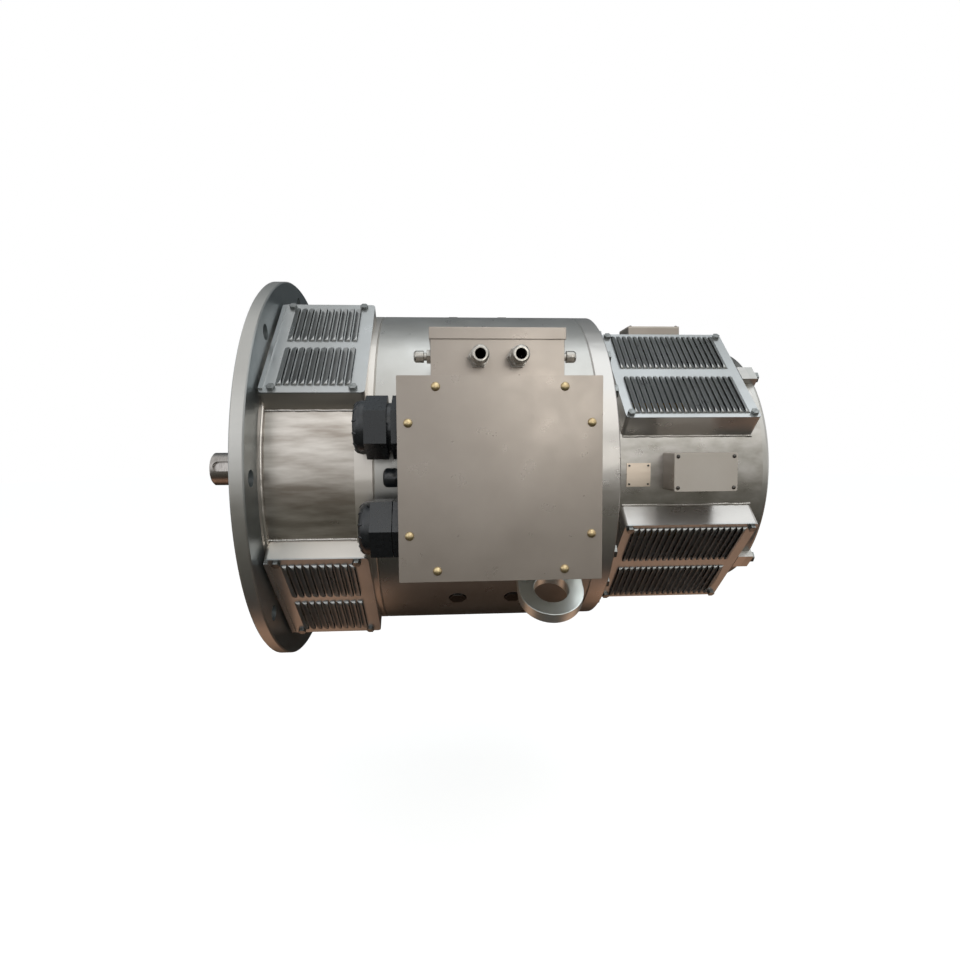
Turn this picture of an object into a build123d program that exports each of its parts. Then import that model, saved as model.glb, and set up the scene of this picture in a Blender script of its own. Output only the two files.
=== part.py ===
# Flange-mounted direct-current motor with louvred end shields and a side terminal box.
# Frame: origin at the centre of the flange's mounting face, on the shaft's axis.
# +X runs along the shaft from the mounting face into the motor, +Z is up,
# and the terminal box faces -Y. All sizes are in millimetres.

from build123d import *
from math import asin, cos, degrees, radians, sin, sqrt
import os

os.makedirs("parts", exist_ok=True)

# Mounting flange
flange_radius = 330
flange_thickness = 20
flange_pitch_radius = 300
flange_hole_radius = 12
flange_hole_count = 8
flange_edge_chamfer = 2
spigot_radius = 275
spigot_height = 6
spigot_width = 40
web_shoulder_radius = 60
hub_radius = 95

# Housing, from the flange to the far end
d_barrel_radius = 267
d_barrel_length = 135
d_barrel_wall = 14
weld_bead = 7
d_ring_width = 27
yoke_radius = 273
yoke_wall = 30
yoke_length = 329
joint_chamfer = 1.5
n_ring_width = 29
n_barrel_radius = 213
n_barrel_length = 247
n_barrel_wall = 12
end_plate_thickness = 12
end_rounding = 6
window_corner_radius = 6

# Louvred covers on the drive-end shield
d_cover_rise = 10
d_cover_start = 4
d_cover_length = 148
d_cover_width = 220
d_frame_rim = 17
d_louvre_count = 10
d_louvre_pitch = 10.8
d_louvre_depth = 8.6
d_louvre_height = 6
d_bolt_inset = 17
d_border_height = 3
d_border_width = 6
d_row_gap = 18
d_row_edge = 15

# Louvred covers on the commutator-end shield
n_cover_rise = 11
n_cover_start = 20
n_cover_length = 212
n_cover_width = 214
n_frame_rim = 15
n_louvre_count = 19
n_louvre_pitch = 9.65
n_louvre_depth = 7.6
n_louvre_height = 5.5
n_bolt_inset = 9
n_row_gap = 22
n_row_edge = 9

# Shared by all eight covers
cover_sheet = 2
hood_sheet = 1.2
hood_end = 9
hood_root_skin = 0.84
cover_bolt_edge = 9
cover_bolt_flats = 11
cover_bolt_head = 5
cover_bolt_radius = 3
cover_hole_clearance = 0.3
cover_bolt_length = 12
diagonals = (45, 135, 225, 315)

# Bolts between the yoke and the commutator-end ring, and the end plate's ears
ring_bolt_inset = 19
ring_bolt_flats = 19
ring_bolt_head = 8
ring_bolt_radius = 6
ring_bolt_spread = 16
ring_bolt_depth = 20
ear_rise = 11
ear_width = 30
ear_length = 14
ear_bolt_radius = 5
ear_bolt_flats = 16
ear_bolt_head = 7
ear_bolt_rise = 1

# Shaft
shaft_radius = 30
shaft_projection = 140
shaft_chamfer = 2.5
seal_seat_radius = 32
seal_seat_lead = 1.5
key_width = 18
key_depth = 7
key_length = 120
key_gap = 6
key_angle = 12
centre_hole_radius = 8.75
centre_hole_depth = 42
fan_seat_radius = 40
core_seat_radius = 50
commutator_seat_radius = 45
tail_radius = 40
seal_clearance = 0.5
running_clearance = 0.3

# Bearings
d_bearing_bore_radius = 35
d_bearing_radius = 75
d_bearing_width = 35
d_roller_radius = 10
d_roller_length = 23
d_roller_count = 12
rolling_play = 0.1
n_bearing_bore_radius = 32.5
n_bearing_radius = 70
n_bearing_width = 33
n_ball_radius = 11.5
n_ball_count = 9
n_groove_lip = 4
bearing_shoulder = 2
seat_start = 4
n_hub_radius = 93
n_hub_length = 87
n_hub_bore_radius = 60
n_bearing_inset = 4
hub_depth = 40
cap_thickness = 9
cap_screw_count = 6
cap_screw_radius = 4
cap_screw_flats = 13
cap_screw_head = 5
cap_screw_length = 26

# Poles and coils
pole_angle = -48
pole_length = 200
pole_width = 80
pole_shoe_width = 150
pole_shoe_height = 20
pole_tip_drop = 24
air_gap = 2
coil_section = 26
coil_height = 50
interpole_width = 30
interpole_gap = 5
interpole_coil_section = 12
interpole_coil_height = 62
interpole_coil_lift = 8
pole_bolt_radius = 8
pole_bolt_flats = 24
pole_bolt_head = 10
pole_bolt_spacing = 89
pole_bolt_grip = 18
pole_recess_radius = 14.5
pole_recess_depth = 8

# Armature
armature_radius = 150
slot_count = 36
slot_width = 9
slot_depth = 26
overhang_length = 40
overhang_radius = 144
overhang_bore_radius = 92
commutator_radius = 105
commutator_length = 112
riser_radius = 126
riser_width = 10
commutator_gap = 18
segment_count = 40
segment_groove_width = 1.5
segment_groove_depth = 3

# Internal fan
fan_gap = 15
fan_width = 56
fan_radius = 190
fan_hub_radius = 58
fan_disc = 4
fan_blade = 3
fan_blade_count = 10

# Brush gear
rocker_width = 14
rocker_radius = 168
brush_width = 16
brush_length = 32
brush_height = 34
brush_spacing = 50
brush_offset = 30
brush_clearance = 0.2
holder_wall = 5
holder_lift = 7
arm_height = 12
arm_gap = 2.5

# Main terminal box
box_size = 262
box_offset_x = 8.1
box_height = 99
box_wall = 3
box_lip = 24
box_cover_sheet = 2
box_gasket = 2
box_floor_wall = 4
box_skirt = 5
box_bolt_edge = 14
box_bolt_corner = 49
box_bolt_side_corner = 59.5
box_bolt_radius = 3
box_bolt_head_radius = 5.8
box_bolt_head = 4
box_bolt_length = 14
box_corner_radius = 1.5
board_length = 190
board_width = 84
board_height = 23
stud_radius = 6
stud_height = 30
stud_spacing = 44
stud_count = 4
stud_nut_flats = 19
stud_nut_height = 10

# Large cable glands on the box's flange side
gland_row_spacing = 135
gland_depth = 54
gland_thread_radius = 31.5
gland_thread_length = 16
gland_hex_flats = 74
gland_base_length = 9
gland_neck_length = 6
gland_nut_length = 29
gland_dome_length = 16
gland_dome_radius = 36
gland_mouth_radius = 29
gland_cable_radius = 22
gland_seal_inset = 2
gland_seal_length = 23
gland_bore_radius = 26
gland_sleeve_radius = 33
gland_dome_rounding = 11
gland_locknut_length = 7
gland_locknut_flats = 68
gland_hole_clearance = 0.2
gland_turn_upper = 0
gland_turn_lower = 30
gland_tighten_lower = 5

# Blanking plug between the large glands
plug_radius = 13
plug_length = 17
plug_hex_flats = 24
plug_hex_length = 6
plug_thread_radius = 10
plug_thread_length = 8
plug_rounding = 6

# Auxiliary terminal box on the main box's upper wall
aux_length = 179.5
aux_offset_x = 1.1
aux_height = 68.5
aux_lid_height = 16
aux_setback = 47
aux_depth = 85
aux_wall = 2
aux_gland_x = 26
aux_gland_z = 28
aux_gland_thread_radius = 10
aux_gland_base_flats = 26
aux_gland_base_length = 7
aux_gland_neck = 4
aux_gland_nut_flats = 24
aux_gland_nut_length = 14
aux_gland_dome_length = 17
aux_gland_dome_radius = 11.6
aux_gland_bore_radius = 7
aux_gland_rounding = 4
aux_gland_thread_length = 8
side_gland_flats = 18
side_gland_length = 6
side_gland_neck_radius = 5.5
side_gland_neck_length = 4
side_gland_cap_radius = 8.3
side_gland_cap_length = 14
side_gland_z = 35
side_gland_inset = 40
side_gland_rounding = 4
side_gland_thread_radius = 6

# Junction boxes on the commutator-end barrel
junction_length = 97
junction_width = 58
junction_start = 85.5
junction_height = 45.5
junction_cover = 3
junction_wall = 4
junction_floor_wall = 8
junction_boss = 11
junction_screw_hole = 2
junction_screw_length = 12
junction_screw_inset = 5.5
junction_screw_radius = 4
junction_screw_head = 2.5
junction_corner_radius = 3
junction_gland_radius = 7.5
junction_gland_length = 6
junction_gland_flats = 17
junction_gland_base = 4
junction_gland_rounding = 2
junction_gland_offset = 4
junction_gland_drop = 24
junction_angles = (0, 90)

# Bare nameplate
plate_start = 27
plate_length = 38
plate_height = 37
plate_centre_z = -6
plate_thickness = 1
rivet_radius = 1.6
rivet_height = 1.2
rivet_inset = 4

# Lifting lugs
lug_angle = -36
lug_inset_x = 70
lug_rise = 34
lug_outer_radius = 49
lug_hole_radius = 26
lug_thickness = 20

# Stations along the axis, counted from the mounting face
d_ring_x = flange_thickness + d_barrel_length
yoke_x = d_ring_x + d_ring_width
n_ring_x = yoke_x + yoke_length
n_barrel_x = n_ring_x + n_ring_width
end_plate_x = n_barrel_x + n_barrel_length
end_x = end_plate_x + end_plate_thickness
yoke_middle_x = yoke_x + yoke_length / 2
d_cover_distance = d_barrel_radius + d_cover_rise
n_cover_distance = n_barrel_radius + n_cover_rise
ring_bolt_circle = yoke_radius - ring_bolt_inset
ear_radius = n_barrel_radius + ear_rise
ear_bolt_circle = n_barrel_radius + ear_bolt_rise
junction_face = n_barrel_radius + junction_height
box_centre_x = yoke_middle_x + box_offset_x
box_face = yoke_radius + box_height
aux_centre_x = box_centre_x + aux_offset_x
aux_front = box_face - aux_setback
gland_row_z = gland_row_spacing / 2
lug_x = n_ring_x - lug_inset_x
lug_radius = yoke_radius + lug_rise
yoke_bore_radius = yoke_radius - yoke_wall
d_cover_x = flange_thickness + d_cover_start
n_cover_x = n_barrel_x + n_cover_start
pole_x = yoke_middle_x - pole_length / 2
d_bearing_x = flange_thickness
n_bearing_x = end_plate_x - n_bearing_inset - n_bearing_width
box_z = box_size / 2
box_bolt_long = box_z - box_bolt_edge
box_bolt_short = box_z - box_bolt_corner
box_bolt_side = box_z - box_bolt_side_corner


def outward(angle):
    """Unit vector away from the axis; angle 0 faces the terminal box, 90 is up."""
    return Vector(0, -cos(radians(angle)), sin(radians(angle)))


def along(angle):
    """Unit vector square to the axis and to outward, turning upwards from angle 0."""
    return Vector(0, sin(radians(angle)), cos(radians(angle)))


def side_plane(angle, distance):
    """Plane facing outward at this angle: its x is the shaft's axis, its y is along."""
    return Plane(origin=outward(angle) * distance, x_dir=(1, 0, 0), z_dir=outward(angle))


def radial_plane(angle, offset=0):
    """Plane that holds the axis and the outward direction: its y is outward."""
    return Plane(origin=along(angle) * -offset, x_dir=(1, 0, 0), z_dir=along(angle) * -1)


def cross_plane(x):
    """Plane square to the axis at station x, facing +X."""
    return Plane(origin=(x, 0, 0), x_dir=(0, 1, 0), z_dir=(1, 0, 0))


def cross_point(radius, angle):
    """Point of a cross plane at this radius and angle."""
    return (-radius * cos(radians(angle)), radius * sin(radians(angle)))


def turned_ring(x_from, x_to, inner, outer):
    """Profile of a plain ring about the axis, for revolving inside a part."""
    with BuildSketch(Plane.XZ) as section:
        with Locations(((x_from + x_to) / 2, (inner + outer) / 2)):
            Rectangle(x_to - x_from, outer - inner)
    revolve(section.sketch, axis=Axis.X)


def axial_cylinder(x_from, x_to, radius, mode=Mode.ADD):
    """Plain cylinder about the axis, added or cut."""
    with BuildSketch(cross_plane(x_from)) as disc:
        Circle(radius)
    extrude(disc.sketch, amount=x_to - x_from, mode=mode)


def hexagon(flats, rotation=0):
    """Hexagon given by its width across flats."""
    return RegularPolygon(radius=flats / 2, side_count=6, major_radius=False, rotation=rotation)


def finish(part, label):
    """Name a finished piece and write it."""
    part.part.label = label
    export_step(part.part, f"parts/{label}.step")


def louvre_profiles(count, pitch, depth, height, middle_x, opens_forward, inner):
    """Side view of each pressed hood in a row, or of the hollow under it."""
    way = 1 if opens_forward else -1
    for index in range(count):
        root = middle_x + (index - (count - 1) / 2) * pitch - way * depth / 2
        if inner:
            corners = [
                (root + way * 2 * hood_sheet, -2 * cover_sheet),
                (root + way * 2 * hood_sheet, hood_root_skin),
                (root + way * depth, height - hood_sheet),
                (root + way * depth, -2 * cover_sheet),
            ]
        else:
            corners = [
                (root, 0),
                (root + way * depth, height),
                (root + way * depth, 0),
            ]
        Polygon(*corners, align=None)


def hood_row(angle, distance, x_start, length, near, reach, count, pitch, depth, height,
             opens_forward, hollow):
    """A row of pressed hoods whose ends fall off in quarter ellipses, or the hollows under them."""
    skin = hood_sheet if hollow else 0
    seat_middle = outward(angle) * distance + Vector(x_start, 0, 0)
    far_side = Plane(
        origin=outward(angle) * distance + along(angle) * (near + reach - skin),
        x_dir=(1, 0, 0),
        z_dir=along(angle) * -1,
    )
    across = Plane(origin=seat_middle + along(angle) * (near + reach / 2), x_dir=along(angle), z_dir=(1, 0, 0))
    with BuildPart() as row:
        with BuildSketch(far_side):
            louvre_profiles(count, pitch, depth, height, x_start + length / 2, opens_forward, hollow)
        extrude(amount=reach - 2 * skin)
        with BuildSketch(across):
            Rectangle(reach - 2 * hood_end, 2 * (height - skin))
            with Locations((hood_end - reach / 2, 0), (reach / 2 - hood_end, 0)):
                Ellipse(hood_end - skin, height - skin)
            if hollow:
                with Locations((0, -cover_sheet)):
                    Rectangle(reach - 2 * skin, 2 * cover_sheet)
        extrude(amount=length, mode=Mode.INTERSECT)
    return row.part


def louvre_cover(angle, distance, x_start, length, width, count, pitch, depth, height, gap, edge,
                 opens_forward, bolt_x, fold_width=0, fold_height=0):
    """Flat sheet cover with two rows of pressed louvres."""
    middle = x_start + length / 2
    inner_edge = gap / 2
    outer_edge = width / 2 - edge
    reach = outer_edge - inner_edge
    hoods = []
    hollows = []
    for near in (inner_edge, -outer_edge):
        hoods.append(hood_row(angle, distance, x_start, length, near, reach, count, pitch, depth,
                              height, opens_forward, False))
        hollows.append(hood_row(angle, distance, x_start, length, near, reach, count, pitch, depth,
                                height, opens_forward, True))
    with BuildPart() as cover:
        with BuildSketch(side_plane(angle, distance - cover_sheet)):
            with Locations((middle, 0)):
                RectangleRounded(length, width, window_corner_radius)
        extrude(amount=cover_sheet)
        if fold_width:
            with BuildSketch(side_plane(angle, distance)):
                with Locations((x_start + fold_width / 2, 0)):
                    Rectangle(fold_width, width - 2 * window_corner_radius)
            extrude(amount=fold_height)
        add(hoods)
        add(hollows, mode=Mode.SUBTRACT)
        with BuildSketch(side_plane(angle, distance)):
            with Locations((middle, 0)):
                with GridLocations(length - 2 * bolt_x, width - 2 * cover_bolt_edge, 2, 2):
                    Circle(cover_bolt_radius + cover_hole_clearance)
        extrude(amount=-2 * cover_sheet, mode=Mode.SUBTRACT)
    return cover


def cover_bolt_places(x_start, length, width, bolt_x):
    """Places of a cover's four corner bolts on its side plane."""
    middle = x_start + length / 2
    reach_x = length / 2 - bolt_x
    reach_y = width / 2 - cover_bolt_edge
    return [(middle + way_x * reach_x, way_y * reach_y) for way_x in (-1, 1) for way_y in (-1, 1)]


def frame_height(distance, radius, half_width):
    """Depth from a cover's seat down to a barrel of this radius, beside the middle line."""
    return distance - cover_sheet - sqrt(radius**2 - half_width**2)


def window_frames(distance, x_start, length, width, radius, wall):
    """Four raised rectangular window frames on a barrel, one on each diagonal."""
    seat_depth = frame_height(distance, radius - wall / 2, width / 2)
    for angle in diagonals:
        with BuildSketch(side_plane(angle, distance - cover_sheet)) as frame:
            with Locations((x_start + length / 2, 0)):
                RectangleRounded(length, width, window_corner_radius)
        extrude(frame.sketch, amount=-seat_depth)


def window_cuts(distance, x_start, length, width, rim, inner_radius, bolt_x):
    """The openings through the frames, and the covers' screw holes in the rims."""
    opening_depth = frame_height(distance, inner_radius, width / 2 - rim) + cover_sheet
    for angle in diagonals:
        seat = side_plane(angle, distance - cover_sheet)
        with BuildSketch(seat) as opening:
            with Locations((x_start + length / 2, 0)):
                RectangleRounded(length - 2 * rim, width - 2 * rim, window_corner_radius)
        extrude(opening.sketch, amount=-opening_depth, mode=Mode.SUBTRACT)
        with BuildSketch(seat) as screw_holes:
            with Locations((x_start + length / 2, 0)):
                with GridLocations(length - 2 * bolt_x, width - 2 * cover_bolt_edge, 2, 2):
                    Circle(cover_bolt_radius)
        extrude(screw_holes.sketch, amount=cover_sheet - cover_bolt_length, mode=Mode.SUBTRACT)


def hex_bolts(seat, places, flats, head, radius, length, turn=0):
    """Hexagon bolts standing on a seat plane, heads outward and shanks inward."""
    with BuildSketch(seat) as heads:
        with Locations(*places):
            hexagon(flats, turn)
    extrude(heads.sketch, amount=head)
    with BuildSketch(seat) as shanks:
        with Locations(*places):
            Circle(radius)
    extrude(shanks.sketch, amount=-length)


def round_screws(seat, places, head_radius, head, radius, length):
    """Round-headed screws standing on a seat plane."""
    with BuildSketch(seat) as heads:
        with Locations(*places):
            Circle(head_radius)
    extrude(heads.sketch, amount=head)
    with BuildSketch(seat) as shanks:
        with Locations(*places):
            Circle(radius)
    extrude(shanks.sketch, amount=-length)


def round_holes(seat, places, radius, depth):
    """Round holes cut inward from a seat plane."""
    with BuildSketch(seat) as holes:
        with Locations(*places):
            Circle(radius)
    extrude(holes.sketch, amount=-depth, mode=Mode.SUBTRACT)


def ring_places(circle_radius, count):
    """Evenly spaced places on a circle in a cross plane."""
    return [cross_point(circle_radius, index * 360 / count) for index in range(count)]


def round_end(axis_plane, x_root, x_tip, radius, rounding):
    """Solid of revolution with a rounded tip, about the x axis of a plane."""
    length = abs(x_tip - x_root)
    with BuildSketch(axis_plane) as half:
        with Locations(((x_root + x_tip) / 2, radius / 2)):
            Rectangle(length, radius)
        tip_side = 0 if x_tip < x_root else -1
        corner = half.vertices().group_by(Axis.X)[tip_side].sort_by(Axis.Y)[-1]
        fillet(corner, rounding)
    revolve(half.sketch, axis=Axis(axis_plane.origin, axis_plane.x_dir))


# Mounting flange: disc, spigot, web and bearing hub in one piece
cap_screw_circle = d_bearing_radius + (hub_radius - d_bearing_radius) / 2
with BuildPart() as flange:
    axial_cylinder(0, flange_thickness, flange_radius)
    chamfer(flange.edges().filter_by(GeomType.CIRCLE), flange_edge_chamfer)
    turned_ring(-spigot_height, 0, spigot_radius - spigot_width, spigot_radius)
    axial_cylinder(flange_thickness, flange_thickness + hub_depth, hub_radius)
    axial_cylinder(-spigot_height, flange_thickness, web_shoulder_radius, Mode.SUBTRACT)
    axial_cylinder(d_bearing_x, flange_thickness + hub_depth, d_bearing_radius, Mode.SUBTRACT)
    round_holes(cross_plane(flange_thickness), ring_places(flange_pitch_radius, flange_hole_count),
                flange_hole_radius, flange_thickness)
    round_holes(cross_plane(flange_thickness), ring_places(cap_screw_circle, cap_screw_count),
                cap_screw_radius, flange_thickness)
finish(flange, "mounting_flange")

# Drive-end shield: barrel with its weld bead, ring at the yoke and four window frames
d_inner_radius = d_barrel_radius - d_barrel_wall
with BuildPart() as d_shield:
    axial_cylinder(flange_thickness, d_ring_x, d_barrel_radius)
    with BuildSketch(Plane.XZ):
        Polygon(
            (flange_thickness, d_inner_radius),
            (flange_thickness, d_barrel_radius + weld_bead),
            (flange_thickness + weld_bead, d_barrel_radius),
            (flange_thickness + weld_bead, d_inner_radius),
            align=None,
        )
    revolve(axis=Axis.X)
    axial_cylinder(d_ring_x, yoke_x, yoke_radius)
    chamfer(d_shield.edges().filter_by(GeomType.CIRCLE).sort_by(Axis.X)[-1], joint_chamfer)
    window_frames(d_cover_distance, d_cover_x, d_cover_length, d_cover_width, d_barrel_radius, d_barrel_wall)
    axial_cylinder(flange_thickness, yoke_x, d_inner_radius, Mode.SUBTRACT)
    window_cuts(d_cover_distance, d_cover_x, d_cover_length, d_cover_width, d_frame_rim,
                d_inner_radius, d_bolt_inset)
finish(d_shield, "d_end_shield")

# Yoke: rolled tube with recesses for the pole bolts and holes for the ring bolts
pole_angles = [pole_angle + 90 * index for index in range(4)]
interpole_angles = [angle + 45 for angle in pole_angles]
pole_bolt_places = [(yoke_middle_x - pole_bolt_spacing / 2, 0), (yoke_middle_x + pole_bolt_spacing / 2, 0)]
pole_recess_floor = yoke_radius - pole_recess_depth
ring_bolt_places = [
    cross_point(ring_bolt_circle, angle + offset)
    for angle in diagonals
    for offset in (-ring_bolt_spread, 0, ring_bolt_spread)
]
with BuildPart() as yoke:
    turned_ring(yoke_x, n_ring_x, yoke_bore_radius, yoke_radius)
    circles = yoke.edges().filter_by(GeomType.CIRCLE)
    outer_edges = circles.filter_by(lambda edge: edge.radius > yoke_bore_radius + 1)
    chamfer(outer_edges, joint_chamfer)
    for angle in pole_angles + interpole_angles:
        round_holes(side_plane(angle, yoke_radius), pole_bolt_places, pole_recess_radius, pole_recess_depth)
        round_holes(side_plane(angle, yoke_radius), pole_bolt_places, pole_bolt_radius, yoke_wall + 2)
    round_holes(cross_plane(n_ring_x), ring_bolt_places, ring_bolt_radius, ring_bolt_depth)
finish(yoke, "yoke")

# Commutator-end shield: bolted ring, smaller barrel, window frames and four cast ears
n_inner_radius = n_barrel_radius - n_barrel_wall


def ears(x_start, x_end):
    """Cast ears on the diagonals for the end plate's bolts, from one station to another."""
    for angle in diagonals:
        with BuildSketch(side_plane(angle, ear_radius)) as ear:
            with Locations(((x_start + x_end) / 2, 0)):
                Rectangle(x_end - x_start, ear_width)
        extrude(ear.sketch, amount=n_inner_radius - ear_radius)


ear_places = [cross_point(ear_bolt_circle, angle) for angle in diagonals]
with BuildPart() as n_shield:
    axial_cylinder(n_ring_x, n_barrel_x, yoke_radius)
    chamfer(n_shield.edges().filter_by(GeomType.CIRCLE), joint_chamfer)
    axial_cylinder(n_barrel_x, end_plate_x, n_barrel_radius)
    window_frames(n_cover_distance, n_cover_x, n_cover_length, n_cover_width, n_barrel_radius, n_barrel_wall)
    ears(end_plate_x - ear_length, end_plate_x)
    axial_cylinder(n_ring_x, end_plate_x, n_inner_radius, Mode.SUBTRACT)
    window_cuts(n_cover_distance, n_cover_x, n_cover_length, n_cover_width, n_frame_rim,
                n_inner_radius, n_bolt_inset)
    round_holes(cross_plane(n_barrel_x), ring_bolt_places, ring_bolt_radius, n_ring_width)
    round_holes(cross_plane(end_plate_x), ear_places, ear_bolt_radius, ear_length)
finish(n_shield, "n_end_shield")

# End plate with the commutator-end bearing hub
n_cap_circle = n_bearing_radius + (n_hub_radius - n_bearing_radius) / 2
with BuildPart() as end_plate:
    axial_cylinder(end_plate_x, end_x, n_barrel_radius)
    fillet(end_plate.edges().filter_by(GeomType.CIRCLE).sort_by(Axis.X)[-1], end_rounding)
    axial_cylinder(end_plate_x - n_hub_length, end_plate_x, n_hub_radius)
    ears(end_plate_x, end_x)
    axial_cylinder(end_plate_x - n_hub_length, n_bearing_x, n_hub_bore_radius, Mode.SUBTRACT)
    axial_cylinder(n_bearing_x, end_x, n_bearing_radius, Mode.SUBTRACT)
    round_holes(cross_plane(end_x), ear_places, ear_bolt_radius, end_plate_thickness)
    round_holes(cross_plane(end_x), ring_places(n_cap_circle, cap_screw_count), cap_screw_radius,
                cap_screw_length - cap_thickness)
finish(end_plate, "end_plate")

# Louvred covers, pressed alike for each end and set on the four diagonals
d_pressing = louvre_cover(diagonals[0], d_cover_distance, d_cover_x, d_cover_length, d_cover_width,
                          d_louvre_count, d_louvre_pitch, d_louvre_depth, d_louvre_height, d_row_gap,
                          d_row_edge, True, d_bolt_inset, d_border_width, d_border_height)
n_pressing = louvre_cover(diagonals[0], n_cover_distance, n_cover_x, n_cover_length, n_cover_width,
                          n_louvre_count, n_louvre_pitch, n_louvre_depth, n_louvre_height, n_row_gap,
                          n_row_edge, False, n_bolt_inset)
for index, angle in enumerate(diagonals, start=1):
    turn = (diagonals[0] - angle, 0, 0)
    with BuildPart() as d_cover:
        add(d_pressing.part, rotation=turn)
    finish(d_cover, f"d_louvre_cover_{index}")
    with BuildPart() as n_cover:
        add(n_pressing.part, rotation=turn)
    finish(n_cover, f"n_louvre_cover_{index}")

# Cover bolts
with BuildPart() as cover_bolts:
    for angle in diagonals:
        hex_bolts(side_plane(angle, d_cover_distance),
                  cover_bolt_places(d_cover_x, d_cover_length, d_cover_width, d_bolt_inset),
                  cover_bolt_flats, cover_bolt_head, cover_bolt_radius, cover_bolt_length)
        hex_bolts(side_plane(angle, n_cover_distance),
                  cover_bolt_places(n_cover_x, n_cover_length, n_cover_width, n_bolt_inset),
                  cover_bolt_flats, cover_bolt_head, cover_bolt_radius, cover_bolt_length)
finish(cover_bolts, "cover_bolts")

# Housing bolts: ring, ears, bearing caps and poles
with BuildPart() as shield_bolts:
    hex_bolts(cross_plane(n_barrel_x), ring_bolt_places, ring_bolt_flats, ring_bolt_head,
              ring_bolt_radius, n_ring_width + ring_bolt_depth)
    hex_bolts(cross_plane(end_x), ear_places, ear_bolt_flats, ear_bolt_head, ear_bolt_radius,
              end_plate_thickness + ear_length)
finish(shield_bolts, "shield_bolts")
with BuildPart() as pole_bolts:
    for angle in pole_angles + interpole_angles:
        hex_bolts(side_plane(angle, pole_recess_floor), pole_bolt_places, pole_bolt_flats,
                  pole_bolt_head, pole_bolt_radius, yoke_wall - pole_recess_depth + pole_bolt_grip)
finish(pole_bolts, "pole_bolts")

# Bearing caps and their screws
d_cap_face = Plane(origin=(-cap_thickness, 0, 0), x_dir=(0, 1, 0), z_dir=(-1, 0, 0))
with BuildPart() as d_bearing_cap:
    turned_ring(-cap_thickness, 0, seal_seat_radius + seal_clearance, hub_radius)
    round_holes(cross_plane(0), ring_places(cap_screw_circle, cap_screw_count), cap_screw_radius, cap_thickness)
finish(d_bearing_cap, "d_bearing_cap")
with BuildPart() as n_bearing_cap:
    axial_cylinder(end_x, end_x + cap_thickness, n_hub_radius)
    turned_ring(n_bearing_x + n_bearing_width, end_x, n_hub_bore_radius, n_bearing_radius)
    round_holes(cross_plane(end_x + cap_thickness), ring_places(n_cap_circle, cap_screw_count),
                cap_screw_radius, cap_thickness)
finish(n_bearing_cap, "n_bearing_cap")
with BuildPart() as cap_screws:
    hex_bolts(d_cap_face, ring_places(cap_screw_circle, cap_screw_count), cap_screw_flats,
              cap_screw_head, cap_screw_radius, cap_screw_length)
    hex_bolts(cross_plane(end_x + cap_thickness), ring_places(n_cap_circle, cap_screw_count),
              cap_screw_flats, cap_screw_head, cap_screw_radius, cap_screw_length)
finish(cap_screws, "cap_screws")

# Shaft: stepped and turned, with a closed keyway and a tapped centre hole
commutator_end_x = end_plate_x - n_hub_length - commutator_gap
riser_end_x = commutator_end_x - commutator_length
riser_x = riser_end_x - riser_width
seal_seat_x = -cap_thickness - seal_seat_lead
tail_end_x = n_bearing_x + n_bearing_width
fan_seat_x = d_bearing_x + d_bearing_width + bearing_shoulder
fan_x = fan_seat_x + fan_gap
core_x = pole_x
core_end_x = pole_x + pole_length
with BuildPart() as shaft:
    with BuildSketch(Plane.XZ):
        with BuildLine():
            Polyline(
                (-shaft_projection, 0),
                (-shaft_projection, shaft_radius - shaft_chamfer),
                (-shaft_projection + shaft_chamfer, shaft_radius),
                (seal_seat_x, shaft_radius),
                (seal_seat_x, seal_seat_radius),
                (seat_start, seal_seat_radius),
                (seat_start, d_bearing_bore_radius),
                (fan_seat_x, d_bearing_bore_radius),
                (fan_seat_x, fan_seat_radius),
                (core_x, fan_seat_radius),
                (core_x, core_seat_radius),
                (core_end_x, core_seat_radius),
                (core_end_x, commutator_seat_radius),
                (commutator_end_x, commutator_seat_radius),
                (commutator_end_x, tail_radius),
                (n_bearing_x, tail_radius),
                (n_bearing_x, n_bearing_bore_radius),
                (tail_end_x, n_bearing_bore_radius),
                (tail_end_x, 0),
                close=True,
            )
        make_face()
    revolve(axis=Axis.X)
    with BuildSketch(side_plane(key_angle, shaft_radius)):
        with Locations((key_gap + key_length / 2 - shaft_projection, 0)):
            SlotOverall(key_length, key_width)
    extrude(amount=-key_depth, mode=Mode.SUBTRACT)
    axial_cylinder(-shaft_projection, centre_hole_depth - shaft_projection, centre_hole_radius, Mode.SUBTRACT)
finish(shaft, "shaft")

# Bearings: a roller bearing at the drive end and a ball bearing at the commutator end
d_pitch_radius = (d_bearing_bore_radius + d_bearing_radius) / 2
d_bearing_end_x = d_bearing_x + d_bearing_width
with BuildPart() as d_inner_ring:
    turned_ring(d_bearing_x, d_bearing_end_x, d_bearing_bore_radius,
                d_pitch_radius - d_roller_radius - running_clearance)
finish(d_inner_ring, "d_bearing_inner_ring")
with BuildPart() as d_outer_ring:
    turned_ring(d_bearing_x, d_bearing_end_x, d_pitch_radius + d_roller_radius + rolling_play,
                d_bearing_radius)
finish(d_outer_ring, "d_bearing_outer_ring")
with BuildPart() as rollers:
    with BuildSketch(cross_plane(d_bearing_x + (d_bearing_width - d_roller_length) / 2)):
        with Locations(*ring_places(d_pitch_radius, d_roller_count)):
            Circle(d_roller_radius)
    extrude(amount=d_roller_length)
finish(rollers, "d_bearing_rollers")

n_pitch_radius = (n_bearing_bore_radius + n_bearing_radius) / 2
n_race_x = n_bearing_x + n_bearing_width / 2
n_rib_offset = n_ball_radius - n_groove_lip


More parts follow.
